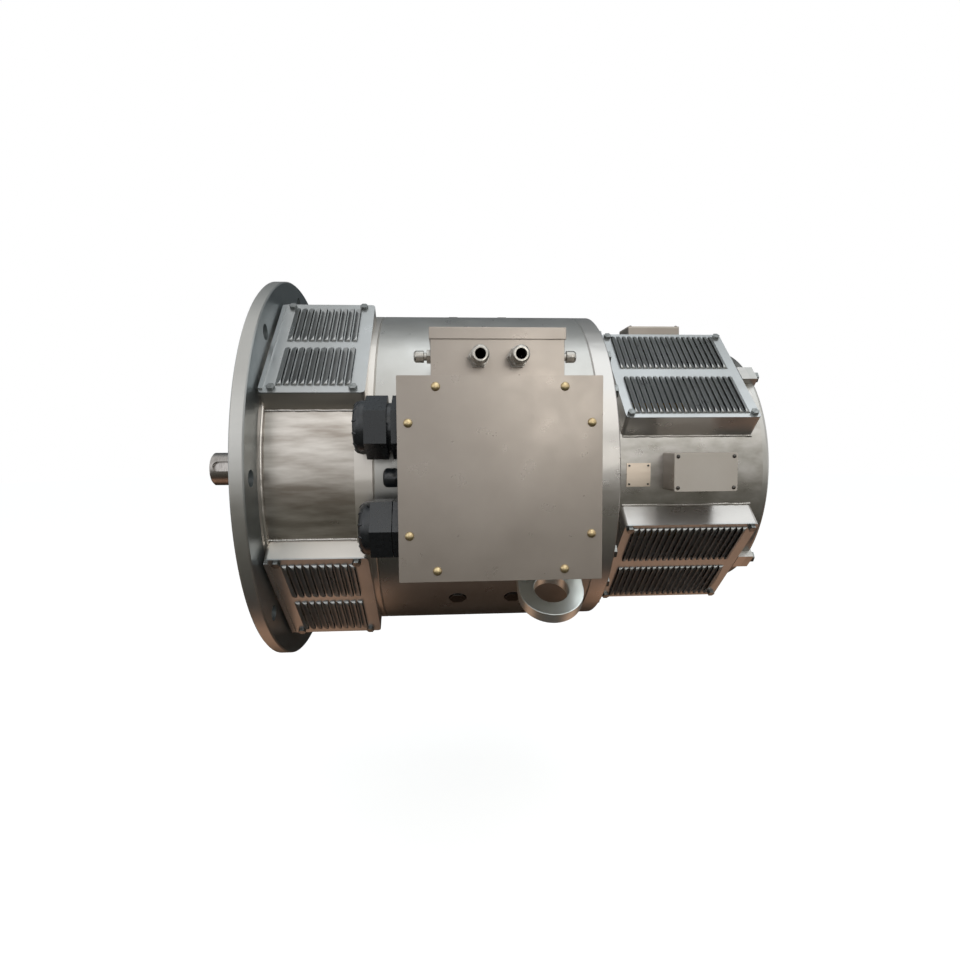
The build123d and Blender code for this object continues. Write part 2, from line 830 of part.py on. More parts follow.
def grooved_ring(inner, outer, play):
    """Bearing ring with a round race for the balls."""
    with BuildSketch(Plane.XZ) as section:
        with Locations((n_race_x, (inner + outer) / 2)):
            Rectangle(n_bearing_width, outer - inner)
        with Locations((n_race_x, n_pitch_radius)):
            Circle(n_ball_radius + play, mode=Mode.SUBTRACT)
    revolve(section.sketch, axis=Axis.X)


with BuildPart() as n_inner_ring:
    grooved_ring(n_bearing_bore_radius, n_pitch_radius - n_rib_offset, running_clearance)
finish(n_inner_ring, "n_bearing_inner_ring")
with BuildPart() as n_outer_ring:
    grooved_ring(n_pitch_radius + n_rib_offset, n_bearing_radius, rolling_play)
finish(n_outer_ring, "n_bearing_outer_ring")
with BuildPart() as balls:
    for place in ring_places(n_pitch_radius, n_ball_count):
        with Locations((n_race_x, *place)):
            Sphere(n_ball_radius)
finish(balls, "n_bearing_balls")

# Field system: main poles and interpoles bolted to the yoke, with their coils
pole_face_radius = armature_radius + air_gap
shoe_top = pole_face_radius + pole_shoe_height
interpole_face_radius = pole_face_radius + interpole_gap


def pole_frame(angle):
    """Turn a profile drawn along x in a cross plane to this angle about the axis."""
    return Location((0, 0, 0), (0, 0, 180 - angle))


with BuildPart() as main_poles:
    with BuildSketch(cross_plane(pole_x)):
        for angle in pole_angles:
            with Locations(pole_frame(angle)):
                Polygon(
                    (pole_face_radius / 2, -pole_shoe_width / 2),
                    (shoe_top - pole_tip_drop, -pole_shoe_width / 2),
                    (shoe_top, -pole_width / 2),
                    (yoke_radius, -pole_width / 2),
                    (yoke_radius, pole_width / 2),
                    (shoe_top, pole_width / 2),
                    (shoe_top - pole_tip_drop, pole_shoe_width / 2),
                    (pole_face_radius / 2, pole_shoe_width / 2),
                    align=None,
                )
        Circle(yoke_bore_radius, mode=Mode.INTERSECT)
        Circle(pole_face_radius, mode=Mode.SUBTRACT)
    extrude(amount=pole_length)
    for angle in pole_angles:
        round_holes(side_plane(angle, yoke_radius), pole_bolt_places, pole_bolt_radius,
                    yoke_wall + pole_bolt_grip)
finish(main_poles, "main_poles")

with BuildPart() as interpoles:
    with BuildSketch(cross_plane(pole_x)):
        for angle in interpole_angles:
            with Locations(pole_frame(angle)):
                Polygon(
                    (interpole_face_radius / 2, -interpole_width / 2),
                    (yoke_radius, -interpole_width / 2),
                    (yoke_radius, interpole_width / 2),
                    (interpole_face_radius / 2, interpole_width / 2),
                    align=None,
                )
        Circle(yoke_bore_radius, mode=Mode.INTERSECT)
        Circle(interpole_face_radius, mode=Mode.SUBTRACT)
    extrude(amount=pole_length)
    for angle in interpole_angles:
        round_holes(side_plane(angle, yoke_radius), pole_bolt_places, pole_bolt_radius,
                    yoke_wall + pole_bolt_grip)
finish(interpoles, "interpoles")


def coils(angles, seat, width, section, height):
    """Rectangular coils wound round the poles at these angles."""
    for angle in angles:
        with BuildSketch(side_plane(angle, seat)) as winding:
            with Locations((yoke_middle_x, 0)):
                RectangleRounded(pole_length + 2 * section, width + 2 * section, section * 0.8)
                Rectangle(pole_length, width, mode=Mode.SUBTRACT)
        extrude(winding.sketch, amount=height)


with BuildPart() as field_coils:
    coils(pole_angles, shoe_top, pole_width, coil_section, coil_height)
finish(field_coils, "field_coils")
with BuildPart() as interpole_coils:
    coils(interpole_angles, interpole_face_radius + interpole_coil_lift, interpole_width,
          interpole_coil_section, interpole_coil_height)
finish(interpole_coils, "interpole_coils")

# Armature: slotted core, winding with its end turns, and commutator
slot_bottom = armature_radius - slot_depth
slot_angles = [index * 360 / slot_count for index in range(slot_count)]


def slot_bars(outer):
    """Cross-section of one bar in every armature slot."""
    for angle in slot_angles:
        with Locations(pole_frame(angle)):
            with Locations(((slot_bottom + outer) / 2, 0)):
                Rectangle(outer - slot_bottom, slot_width)


with BuildPart() as armature_core:
    with BuildSketch(cross_plane(core_x)):
        Circle(armature_radius)
        Circle(core_seat_radius, mode=Mode.SUBTRACT)
    extrude(amount=pole_length)
    with BuildSketch(cross_plane(core_x)):
        slot_bars(armature_radius + 1)
    extrude(amount=pole_length, mode=Mode.SUBTRACT)
finish(armature_core, "armature_core")
with BuildPart() as armature_winding:
    turned_ring(core_x - overhang_length, core_x, overhang_bore_radius, overhang_radius)
    with BuildSketch(cross_plane(core_x)):
        slot_bars(overhang_radius)
    extrude(amount=pole_length)
    with BuildSketch(Plane.XZ):
        Polygon(
            (core_end_x, overhang_bore_radius),
            (core_end_x, overhang_radius),
            (core_end_x + overhang_length, overhang_radius),
            (riser_x, riser_radius),
            (riser_x, overhang_bore_radius),
            align=None,
        )
    revolve(axis=Axis.X)
finish(armature_winding, "armature_winding")
with BuildPart() as commutator:
    turned_ring(riser_x, riser_end_x, commutator_seat_radius, riser_radius)
    turned_ring(riser_end_x, commutator_end_x, commutator_seat_radius, commutator_radius)
    with BuildSketch(cross_plane(riser_end_x)):
        for index in range(segment_count):
            with Locations(pole_frame(index * 360 / segment_count)):
                with Locations((commutator_radius, 0)):
                    Rectangle(2 * segment_groove_depth, segment_groove_width)
    extrude(amount=commutator_length, mode=Mode.SUBTRACT)
finish(commutator, "commutator")

# Internal fan: hub, back disc and radial blades
with BuildPart() as fan:
    turned_ring(fan_x, fan_x + fan_width, fan_seat_radius, fan_hub_radius)
    turned_ring(fan_x + fan_width - fan_disc, fan_x + fan_width, fan_seat_radius, fan_radius)
    with BuildSketch(cross_plane(fan_x)):
        for index in range(fan_blade_count):
            with Locations(pole_frame(index * 360 / fan_blade_count)):
                with Locations(((fan_hub_radius + fan_radius) / 2, 0)):
                    Rectangle(fan_radius - fan_hub_radius + fan_blade, fan_blade)
    extrude(amount=fan_width)
finish(fan, "fan")

# Brush gear: rocker ring on the bearing hub, four arms with two holders each, and brushes
rocker_x = end_plate_x - n_hub_length
brush_stations = [riser_end_x + brush_offset, riser_end_x + brush_offset + brush_spacing]
brush_foot = commutator_radius + running_clearance
holder_foot = commutator_radius + holder_lift
holder_top = brush_foot + brush_height + arm_gap
holder_length = brush_length + 2 * (brush_clearance + holder_wall)
holder_width = brush_width + 2 * (brush_clearance + holder_wall)
arm_start_x = brush_stations[0] - holder_length / 2
with BuildPart() as rocker:
    turned_ring(rocker_x, rocker_x + rocker_width, n_hub_radius, rocker_radius)
finish(rocker, "brush_rocker")
with BuildPart() as brush_arms:
    for angle in pole_angles:
        with BuildSketch(side_plane(angle, holder_foot)) as boxes:
            for station in brush_stations:
                with Locations((station, 0)):
                    Rectangle(holder_length, holder_width)
                    Rectangle(brush_length + 2 * brush_clearance, brush_width + 2 * brush_clearance,
                              mode=Mode.SUBTRACT)
        extrude(boxes.sketch, amount=holder_top - holder_foot)
        with BuildSketch(side_plane(angle, holder_top)) as arm:
            with Locations(((arm_start_x + rocker_x) / 2, 0)):
                Rectangle(rocker_x - arm_start_x, holder_width)
        extrude(arm.sketch, amount=arm_height)
finish(brush_arms, "brush_arms")
with BuildPart() as brushes:
    for angle in pole_angles:
        with BuildSketch(side_plane(angle, 0)) as brush:
            for station in brush_stations:
                with Locations((station, 0)):
                    Rectangle(brush_length, brush_width)
        extrude(brush.sketch, amount=brush_foot + brush_height)
    axial_cylinder(riser_end_x, commutator_end_x, brush_foot, Mode.SUBTRACT)
finish(brushes, "brushes")

# Main terminal box: walls saddled on the yoke, lip, gasket and bolted cover
box_rim = box_face - box_cover_sheet - box_gasket
box_wall_x = box_centre_x - box_size / 2
box_opening = box_size - 2 * box_lip
box_bolt_places = [
    (box_centre_x + way_x * reach_x, way_z * reach_z)
    for reach_x, reach_z in ((box_bolt_short, box_bolt_long), (box_bolt_long, box_bolt_side))
    for way_x in (-1, 1)
    for way_z in (-1, 1)
]
gland_y = -(box_face - gland_depth)
gland_rows = (
    (gland_row_z, gland_turn_upper, 0),
    (-gland_row_z, gland_turn_lower, gland_tighten_lower),
)
box_back = sqrt(yoke_radius**2 - box_z**2) - box_skirt


def box_square(size, rounding=0):
    """Square centred on the box, with rounded corners where asked."""
    with Locations((box_centre_x, 0)):
        if rounding:
            RectangleRounded(size, size, rounding)
        else:
            Rectangle(size, size)


with BuildPart() as box_hollow:
    with BuildSketch(side_plane(0, box_rim - box_wall)):
        box_square(box_size - 2 * box_wall)
    extrude(amount=box_back - box_rim)
    axial_cylinder(yoke_x, n_ring_x, yoke_radius + box_floor_wall, Mode.SUBTRACT)
with BuildPart() as box_body:
    with BuildSketch(side_plane(0, box_rim)):
        box_square(box_size, box_corner_radius)
    extrude(amount=box_back - box_rim)
    add(box_hollow.part, mode=Mode.SUBTRACT)
    axial_cylinder(yoke_x, n_ring_x, yoke_radius, Mode.SUBTRACT)
    with BuildSketch(side_plane(0, box_rim)):
        box_square(box_opening)
    extrude(amount=-2 * box_wall, mode=Mode.SUBTRACT)
    round_holes(side_plane(0, box_rim), box_bolt_places, box_bolt_radius, 2 * box_wall)
    for angle in interpole_angles[:1]:
        round_holes(side_plane(angle, yoke_radius + box_floor_wall), pole_bolt_places, pole_recess_radius,
                    2 * box_floor_wall)
    gland_wall = cross_plane(box_wall_x + box_wall)
    round_holes(gland_wall, [(gland_y, z) for z, turn, tighten in gland_rows],
                gland_thread_radius + gland_hole_clearance, box_wall)
    round_holes(gland_wall, [(gland_y, 0)], plug_thread_radius + gland_hole_clearance, box_wall)
finish(box_body, "terminal_box")
with BuildPart() as gasket:
    with BuildSketch(side_plane(0, box_rim)):
        box_square(box_size, box_corner_radius)
        with Locations((box_centre_x, 0)):
            Rectangle(box_opening, box_opening, mode=Mode.SUBTRACT)
    extrude(amount=box_gasket)
    round_holes(side_plane(0, box_rim + box_gasket), box_bolt_places, box_bolt_radius, box_gasket)
finish(gasket, "terminal_box_gasket")
with BuildPart() as box_cover:
    with BuildSketch(side_plane(0, box_face - box_cover_sheet)):
        box_square(box_size, box_corner_radius)
    extrude(amount=box_cover_sheet)
    round_holes(side_plane(0, box_face), box_bolt_places, box_bolt_radius, box_cover_sheet)
finish(box_cover, "terminal_box_cover")
with BuildPart() as box_bolts:
    round_screws(side_plane(0, box_face), box_bolt_places, box_bolt_head_radius, box_bolt_head,
                 box_bolt_radius, box_bolt_length)
finish(box_bolts, "terminal_box_bolts")

# Terminal board and its studs inside the box
board_top = yoke_radius + box_floor_wall + board_height
with BuildPart() as board:
    with BuildSketch(side_plane(0, board_top)):
        with Locations((box_centre_x, 0)):
            Rectangle(board_length, board_width)
    extrude(amount=-2 * board_height)
    axial_cylinder(yoke_x, n_ring_x, yoke_radius + box_floor_wall, Mode.SUBTRACT)
finish(board, "terminal_board")
with BuildPart() as studs:
    with BuildSketch(side_plane(0, board_top)):
        with Locations((box_centre_x, 0)):
            with GridLocations(stud_spacing, 0, stud_count, 1):
                Circle(stud_radius)
    extrude(amount=stud_height)
    with BuildSketch(side_plane(0, board_top)):
        with Locations((box_centre_x, 0)):
            with GridLocations(stud_spacing, 0, stud_count, 1):
                hexagon(stud_nut_flats)
    extrude(amount=stud_nut_height)
finish(studs, "terminal_studs")


# Large cable glands: body with hexagon base, domed nut, rubber seal and locknut
def gland_plane(x, z):
    """Cross plane centred on a gland's own axis."""
    return Plane(origin=(x, gland_y, z), x_dir=(0, 1, 0), z_dir=(1, 0, 0))


def gland_round(x_from, x_to, z, radius, mode=Mode.ADD):
    """Cylinder on a gland's axis, added or cut."""
    with BuildSketch(gland_plane(x_from, z)) as disc:
        Circle(radius)
    extrude(disc.sketch, amount=x_to - x_from, mode=mode)


def gland_hex(x_from, x_to, z, flats, turn):
    """Hexagon prism on a gland's axis; turn 30 sets a flat to the front."""
    with BuildSketch(gland_plane(x_from, z)) as prism:
        hexagon(flats, turn)
    extrude(prism.sketch, amount=x_to - x_from)


gland_base_x = box_wall_x - gland_base_length
gland_back_x = gland_base_x - gland_neck_length
gland_front_x = gland_back_x - gland_nut_length
gland_mouth_x = gland_front_x - gland_dome_length
gland_seal_x = gland_mouth_x + gland_seal_inset
gland_sleeve_x = gland_seal_x + gland_seal_length
inner_wall_x = box_wall_x + box_wall
with BuildPart() as gland_locknuts:
    for z, turn, tighten in gland_rows:
        gland_hex(inner_wall_x, inner_wall_x + gland_locknut_length, z, gland_locknut_flats, turn)
        gland_round(inner_wall_x, box_wall_x + gland_thread_length, z,
                    gland_thread_radius + gland_hole_clearance, Mode.SUBTRACT)
with BuildPart() as gland_bodies:
    for z, turn, tighten in gland_rows:
        gland_hex(gland_base_x, box_wall_x, z, gland_hex_flats, 30 - turn)
        gland_round(box_wall_x, box_wall_x + gland_thread_length, z, gland_thread_radius)
        gland_round(gland_sleeve_x + tighten, gland_base_x, z, gland_sleeve_radius)
        gland_round(gland_sleeve_x, box_wall_x + gland_thread_length, z, gland_bore_radius, Mode.SUBTRACT)
    add(gland_locknuts.part)
finish(gland_bodies, "gland_bodies")
with BuildPart() as gland_nuts:
    for z, turn, tighten in gland_rows:
        gland_hex(gland_front_x + tighten, gland_back_x + tighten, z, gland_hex_flats, 30 - turn)
        gland_axis = Plane(origin=(0, gland_y, z), x_dir=(1, 0, 0), z_dir=(0, -1, 0))
        round_end(gland_axis, gland_front_x + tighten, gland_mouth_x + tighten, gland_dome_radius,
                  gland_dome_rounding)
        gland_round(gland_mouth_x, gland_back_x, z, gland_mouth_radius, Mode.SUBTRACT)
        gland_round(gland_sleeve_x + tighten, gland_back_x + tighten, z, gland_sleeve_radius, Mode.SUBTRACT)
finish(gland_nuts, "gland_nuts")
with BuildPart() as gland_seals:
    for z, turn, tighten in gland_rows:
        gland_round(gland_seal_x + tighten, gland_sleeve_x + tighten, z, gland_mouth_radius)
        gland_round(gland_seal_x, gland_base_x, z, gland_cable_radius, Mode.SUBTRACT)
finish(gland_seals, "gland_seals")

# Blanking plug between the large glands
with BuildPart() as plug:
    gland_hex(box_wall_x - plug_hex_length, box_wall_x, 0, plug_hex_flats, 0)
    gland_round(box_wall_x, box_wall_x + plug_thread_length, 0, plug_thread_radius)
    plug_axis = Plane(origin=(0, gland_y, 0), x_dir=(1, 0, 0), z_dir=(0, -1, 0))
    round_end(plug_axis, box_wall_x - plug_hex_length, box_wall_x - plug_hex_length - plug_length,
              plug_radius, plug_rounding)
finish(plug, "blanking_plug")

# Auxiliary terminal box with a lid that wraps its upper edge
aux_middle_y = -(aux_front - aux_depth / 2)
aux_bottom = Plane.XY.offset(box_z)
aux_top_z = box_z + aux_height
aux_seam_z = aux_top_z - aux_lid_height
aux_gland_places = [(aux_centre_x + way * aux_gland_x, box_z + aux_gland_z) for way in (-1, 1)]


def aux_rectangle(grow):
    """The auxiliary box's outline seen from above, grown on every side."""
    with Locations((aux_centre_x, aux_middle_y)):
        Rectangle(aux_length + 2 * grow, aux_depth + 2 * grow)


with BuildPart() as aux_box:
    with BuildSketch(aux_bottom):
        aux_rectangle(0)
    extrude(amount=aux_height - aux_wall)
    with BuildSketch(aux_bottom.offset(aux_wall)):
        aux_rectangle(-aux_wall)
    extrude(amount=aux_height, mode=Mode.SUBTRACT)
    round_holes(side_plane(0, aux_front), aux_gland_places, aux_gland_thread_radius, aux_wall)
    side_gland_place = (-(aux_front - side_gland_inset), box_z + side_gland_z)
    round_holes(cross_plane(aux_centre_x + aux_length / 2), [side_gland_place],
                side_gland_thread_radius, aux_length)
finish(aux_box, "aux_box")
with BuildPart() as aux_lid:
    with BuildSketch(Plane.XY.offset(aux_seam_z)):
        aux_rectangle(aux_wall)
    extrude(amount=aux_lid_height)
    with BuildSketch(Plane.XY.offset(aux_seam_z)):
        aux_rectangle(0)
    extrude(amount=aux_lid_height - aux_wall, mode=Mode.SUBTRACT)
finish(aux_lid, "aux_box_lid")
aux_base_face = aux_front + aux_gland_base_length
aux_nut_face = aux_base_face + aux_gland_neck
aux_dome_face = aux_nut_face + aux_gland_nut_length
aux_tip_face = aux_dome_face + aux_gland_dome_length
with BuildPart() as aux_glands:
    hex_bolts(side_plane(0, aux_front), aux_gland_places, aux_gland_base_flats, aux_gland_base_length,
              aux_gland_thread_radius, aux_gland_thread_length)
    with BuildSketch(side_plane(0, aux_base_face)):
        with Locations(*aux_gland_places):
            Circle(aux_gland_thread_radius)
    extrude(amount=aux_gland_neck)
    round_holes(side_plane(0, aux_nut_face), aux_gland_places, aux_gland_bore_radius, aux_nut_face)
finish(aux_glands, "aux_gland_bodies")
with BuildPart() as aux_gland_nuts:
    with BuildSketch(side_plane(0, aux_nut_face)):
        with Locations(*aux_gland_places):
            hexagon(aux_gland_nut_flats)
    extrude(amount=aux_gland_nut_length)
    with BuildSketch(side_plane(0, aux_dome_face)):
        with Locations(*aux_gland_places):
            Circle(aux_gland_dome_radius)
    extrude(amount=aux_gland_dome_length)
    chamfer(aux_gland_nuts.edges().filter_by(GeomType.CIRCLE).group_by(Axis.Y)[0], aux_gland_rounding / 2)
    round_holes(side_plane(0, aux_tip_face), aux_gland_places, aux_gland_bore_radius, aux_tip_face)
finish(aux_gland_nuts, "aux_gland_nuts")

# Closed metal glands on both ends of the auxiliary box
with BuildPart() as side_glands:
    for way in (-1, 1):
        wall_x = aux_centre_x + way * aux_length / 2
        outward_end = Plane(origin=(wall_x, *side_gland_place), x_dir=(0, 1, 0), z_dir=(way, 0, 0))
        hex_bolts(outward_end, [(0, 0)], side_gland_flats, side_gland_length,
                  side_gland_thread_radius, aux_gland_thread_length)
        with BuildSketch(outward_end.offset(side_gland_length)) as neck:
            Circle(side_gland_neck_radius)
        extrude(neck.sketch, amount=side_gland_neck_length)
        cap_axis = Plane(origin=(0, *side_gland_place), x_dir=(1, 0, 0), z_dir=(0, -1, 0))
        cap_root = wall_x + way * (side_gland_length + side_gland_neck_length)
        round_end(cap_axis, cap_root, cap_root + way * side_gland_cap_length, side_gland_cap_radius,
                  side_gland_rounding)
finish(side_glands, "aux_side_glands")

# Junction boxes on the commutator-end barrel, at the front and on top
junction_x = n_barrel_x + junction_start + junction_length / 2
junction_end_x = junction_x + junction_length / 2
junction_rim = junction_face - junction_cover
junction_back = sqrt(n_barrel_radius**2 - (junction_width / 2) ** 2) - junction_wall
screw_reach_x = junction_length / 2 - junction_screw_inset
screw_reach_y = junction_width / 2 - junction_screw_inset
junction_screw_places = [
    (junction_x + way_x * screw_reach_x, way_y * screw_reach_y) for way_x in (-1, 1) for way_y in (-1, 1)
]


def junction_outline():
    """Rounded outline of a junction box on its side plane."""
    with Locations((junction_x, 0)):
        RectangleRounded(junction_length, junction_width, junction_corner_radius)


with BuildPart() as junction_boxes:
    for angle in junction_angles:
        with BuildSketch(side_plane(angle, junction_rim)) as block:
            junction_outline()
        extrude(block.sketch, amount=junction_back - junction_rim)
        with BuildSketch(side_plane(angle, junction_rim)) as hollow:
            with Locations((junction_x, 0)):
                Rectangle(junction_length - 2 * junction_wall, junction_width - 2 * junction_boss)
                Rectangle(junction_length - 2 * junction_boss, junction_width - 2 * junction_wall)
        extrude(hollow.sketch, amount=n_barrel_radius + junction_floor_wall - junction_rim, mode=Mode.SUBTRACT)
        round_holes(side_plane(angle, junction_rim), junction_screw_places, junction_screw_hole,
                    junction_screw_length - junction_cover)
    axial_cylinder(n_barrel_x, end_plate_x, n_barrel_radius, Mode.SUBTRACT)
finish(junction_boxes, "junction_boxes")
with BuildPart() as junction_covers:
    for angle in junction_angles:
        with BuildSketch(side_plane(angle, junction_rim)) as plate:
            junction_outline()
        extrude(plate.sketch, amount=junction_cover)
        round_holes(side_plane(angle, junction_face), junction_screw_places, junction_screw_hole, junction_cover)
finish(junction_covers, "junction_covers")
with BuildPart() as junction_screws:
    for angle in junction_angles:
        round_screws(side_plane(angle, junction_face), junction_screw_places, junction_screw_radius,
                     junction_screw_head, junction_screw_hole, junction_screw_length)
finish(junction_screws, "junction_screws")
with BuildPart() as junction_glands:
    for angle in junction_angles:
        centre = outward(angle) * (junction_face - junction_gland_drop) + along(angle) * junction_gland_offset
        seat = Plane(origin=(junction_end_x, centre.Y, centre.Z), x_dir=(0, 1, 0), z_dir=(1, 0, 0))
        with BuildSketch(seat) as base:
            hexagon(junction_gland_flats)
        extrude(base.sketch, amount=junction_gland_base)
        cap_axis = Plane(origin=(0, centre.Y, centre.Z), x_dir=(1, 0, 0), z_dir=(0, -1, 0))
        cap_root = junction_end_x + junction_gland_base
        round_end(cap_axis, cap_root, cap_root + junction_gland_length, junction_gland_radius,
                  junction_gland_rounding)
finish(junction_glands, "junction_glands")

# Bare nameplate with four rivets
plate_x = n_barrel_x + plate_start + plate_length / 2
plate_outer_radius = n_barrel_radius + plate_thickness
with BuildPart() as nameplate:
    with BuildSketch(side_plane(0, n_inner_radius / 2)):
        with Locations((plate_x, plate_centre_z)):
            Rectangle(plate_length, plate_height)
    extrude(amount=n_barrel_radius)
    axial_cylinder(n_barrel_x, end_plate_x, plate_outer_radius, Mode.INTERSECT)
    axial_cylinder(n_barrel_x, end_plate_x, n_barrel_radius, Mode.SUBTRACT)
finish(nameplate, "nameplate")
with BuildPart() as rivets:
    for way_x in (-1, 1):
        for way_z in (-1, 1):
            rivet_z = plate_centre_z + way_z * (plate_height / 2 - rivet_inset)
            rivet_angle = degrees(asin(rivet_z / plate_outer_radius))
            with BuildSketch(side_plane(rivet_angle, plate_outer_radius)) as rivet:
                with Locations((plate_x + way_x * (plate_length / 2 - rivet_inset), 0)):
                    Circle(rivet_radius)
            extrude(rivet.sketch, amount=rivet_height)
finish(rivets, "nameplate_rivets")

# Lifting lugs, welded to the yoke on opposite sides
for index, angle in enumerate((lug_angle, lug_angle + 180), start=1):
    with BuildPart() as lug:
        with BuildSketch(radial_plane(angle, 0)):
            with Locations((lug_x, lug_radius)):
                Circle(lug_outer_radius)
            with Locations((lug_x, (lug_radius + yoke_bore_radius) / 2)):
                Rectangle(2 * lug_outer_radius, lug_radius - yoke_bore_radius)
            with Locations((lug_x, lug_radius)):
                Circle(lug_hole_radius, mode=Mode.SUBTRACT)
        extrude(amount=lug_thickness / 2, both=True)
        axial_cylinder(yoke_x, n_ring_x, yoke_radius, Mode.SUBTRACT)
    finish(lug, f"lifting_lug_{index}")
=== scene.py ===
# %% [markdown]
# # A flange-mounted direct-current motor
# The machine is a painted steel drum about 0.8 m long with a big round flange, louvred
# covers on both ends and a terminal box on its side. Its solids come from the CAD model,
# already in place and in metres. This lesson gives each of them the finish of the real
# part, adds the small shapes that catch the light, and sets camera, floor and lamps.

# %% Load the model
from math import cos, pi, radians, sin, sqrt

import bmesh
import bpy
from mathutils import Matrix, Vector, noise


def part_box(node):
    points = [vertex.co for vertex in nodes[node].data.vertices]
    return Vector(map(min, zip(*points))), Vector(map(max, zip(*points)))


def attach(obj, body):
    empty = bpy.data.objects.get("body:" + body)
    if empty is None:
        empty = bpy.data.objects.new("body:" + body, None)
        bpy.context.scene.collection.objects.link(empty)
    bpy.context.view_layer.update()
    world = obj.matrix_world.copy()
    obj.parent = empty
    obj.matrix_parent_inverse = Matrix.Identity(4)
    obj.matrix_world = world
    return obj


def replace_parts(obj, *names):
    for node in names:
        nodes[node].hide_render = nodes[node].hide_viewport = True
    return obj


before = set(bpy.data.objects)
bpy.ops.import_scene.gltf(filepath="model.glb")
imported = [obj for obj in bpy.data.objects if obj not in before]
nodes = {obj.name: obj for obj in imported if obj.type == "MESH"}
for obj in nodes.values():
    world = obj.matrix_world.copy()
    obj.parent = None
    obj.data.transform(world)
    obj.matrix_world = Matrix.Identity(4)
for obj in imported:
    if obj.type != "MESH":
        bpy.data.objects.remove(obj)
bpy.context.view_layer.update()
MM = 0.001
same_point = 0.01 * MM

# %% [markdown]
# ## Camera
# The photograph was taken from quite near, at the height of the shaft and a little to the
# flange's side, so the lens is short and the drum's two ends turn away from each other.
# A camera fitted to the flange, the box corners and the covers gives these numbers.

# %% Camera
camera_data = bpy.data.cameras.new("camera")
camera_data.sensor_width = 36
camera_data.lens = 22.14
camera = bpy.data.objects.new("camera", camera_data)
camera.location = (0.2819, -1.1187, 0.049)
camera.rotation_euler = (radians(86.1955), radians(0.383), radians(-3.532))
bpy.context.collection.objects.link(camera)
bpy.context.scene.camera = camera
print("camera at", tuple(round(v, 3) for v in camera.location))

# %% [markdown]
# ## Helpers for materials
# Paint charts give colours as sRGB hex values, while shaders want linear light, so one
# function turns the first into the second. Another adds a node with its settings and
# links in one call, which keeps each material below short enough to read.


# %% Colour and node helpers
def linear(hex_colour):
    """sRGB hex value to linear RGBA."""
    values = [int(hex_colour[i:i + 2], 16) / 255 for i in (1, 3, 5)]
    light = [v / 12.92 if v <= 0.04045 else ((v + 0.055) / 1.055) ** 2.4 for v in values]
    return (*light, 1)


def add(tree, kind, inputs=None, **settings):
    """Add one node; a socket given as an input becomes a link."""
    made = tree.nodes.new(kind)
    for name, value in settings.items():
        setattr(made, name, value)
    for name, value in (inputs or {}).items():
        if isinstance(value, bpy.types.NodeSocket):
            tree.links.new(value, made.inputs[name])
        else:
            made.inputs[name].default_value = value
    return made


def new_finish(name, colour, metallic=0.0, roughness=0.5, **sockets):
    """A material with its shader set; patterns are linked to it afterwards."""
    material = bpy.data.materials.new(name)
    material.use_nodes = True
    tree = material.node_tree
    shader = tree.nodes["Principled BSDF"]
    shader.inputs["Base Color"].default_value = linear(colour)
    shader.inputs["Metallic"].default_value = metallic
    shader.inputs["Roughness"].default_value = roughness
    for socket, value in sockets.items():
        shader.inputs[socket.replace("_", " ")].default_value = value
    return material, tree, shader


def axes(tree):
    """The object's own X, Y and Z as three numbers."""
    place = add(tree, "ShaderNodeTexCoord").outputs["Object"]
    return add(tree, "ShaderNodeSeparateXYZ", {0: place}).outputs


def maths(tree, operation, first, second=0.0):
    """One step of arithmetic on numbers or sockets."""
    return add(tree, "ShaderNodeMath", {0: first, 1: second}, operation=operation).outputs[0]


def pattern(tree, size_mm, stretch=(1, 1, 1), detail=3.0):
    """Noise whose blots are about size_mm wide, stretched along the part's own axes."""
    place = add(tree, "ShaderNodeTexCoord").outputs["Object"]
    squeeze = [1 / s for s in stretch]
    scaled = add(tree, "ShaderNodeMapping", {"Vector": place, "Scale": squeeze})
    blots = add(tree, "ShaderNodeTexNoise", {
        "Vector": scaled.outputs["Vector"], "Scale": 1 / (size_mm * MM), "Detail": detail,
        "Roughness": 0.5,
    })
    return blots.outputs["Fac"]


def ramp(tree, value, low, high, from_low=0.3, from_high=0.7):
    """A number spread between two values; noise lies mostly between 0.3 and 0.7."""
    spread = add(tree, "ShaderNodeMapRange", {
        "Value": value, "From Min": from_low, "From Max": from_high, "To Min": low, "To Max": high,
    })
    return spread.outputs["Result"]


def tint(tree, value, first, second):
    """Colour between two, each of them a paint-chart value or another node's colour."""
    ends = [linear(end) if isinstance(end, str) else end for end in (first, second)]
    inputs = {"Factor": value, 6: ends[0], 7: ends[1]}
    return add(tree, "ShaderNodeMix", inputs, data_type="RGBA").outputs[2]


def relief(tree, shader, height, depth_mm, below=None):
    """Bump of a given depth on the shader's normal, on top of another bump if there is one."""
    inputs = {"Height": height, "Distance": depth_mm * MM, "Strength": 1.0}
    if below:
        inputs["Normal"] = below.outputs["Normal"]
    bump = add(tree, "ShaderNodeBump", inputs)
    tree.links.new(bump.outputs["Normal"], shader.inputs["Normal"])
    return bump


# %% [markdown]
# ## Silver machine paint
# The housing is sprayed with aluminium paint: flakes of metal in a clear binder. It mirrors
# the room in a blurred way, so tops are bright, and everything that faces the floor goes
# dark and brown. That calls for a mostly metallic shader with a fairly low roughness. The
# grey drifts over a hand's width. The plate below is never quite flat, and long shallow
# waves in it bend the light; a fine orange peel of the film lies on top of them.
#
# The light colour can be kept for what lies beyond a radius from the shaft's axis. The
# flange uses that: inside its rim both faces stay near a darker grey, a painted shade.

# %% Silver paint on the rolled and machined parts
gloss_patch_mm = 26
glossier, duller = 0.03, 0.04
peel_mm, peel_depth_mm = 6, 0.004
blend_mm = 3


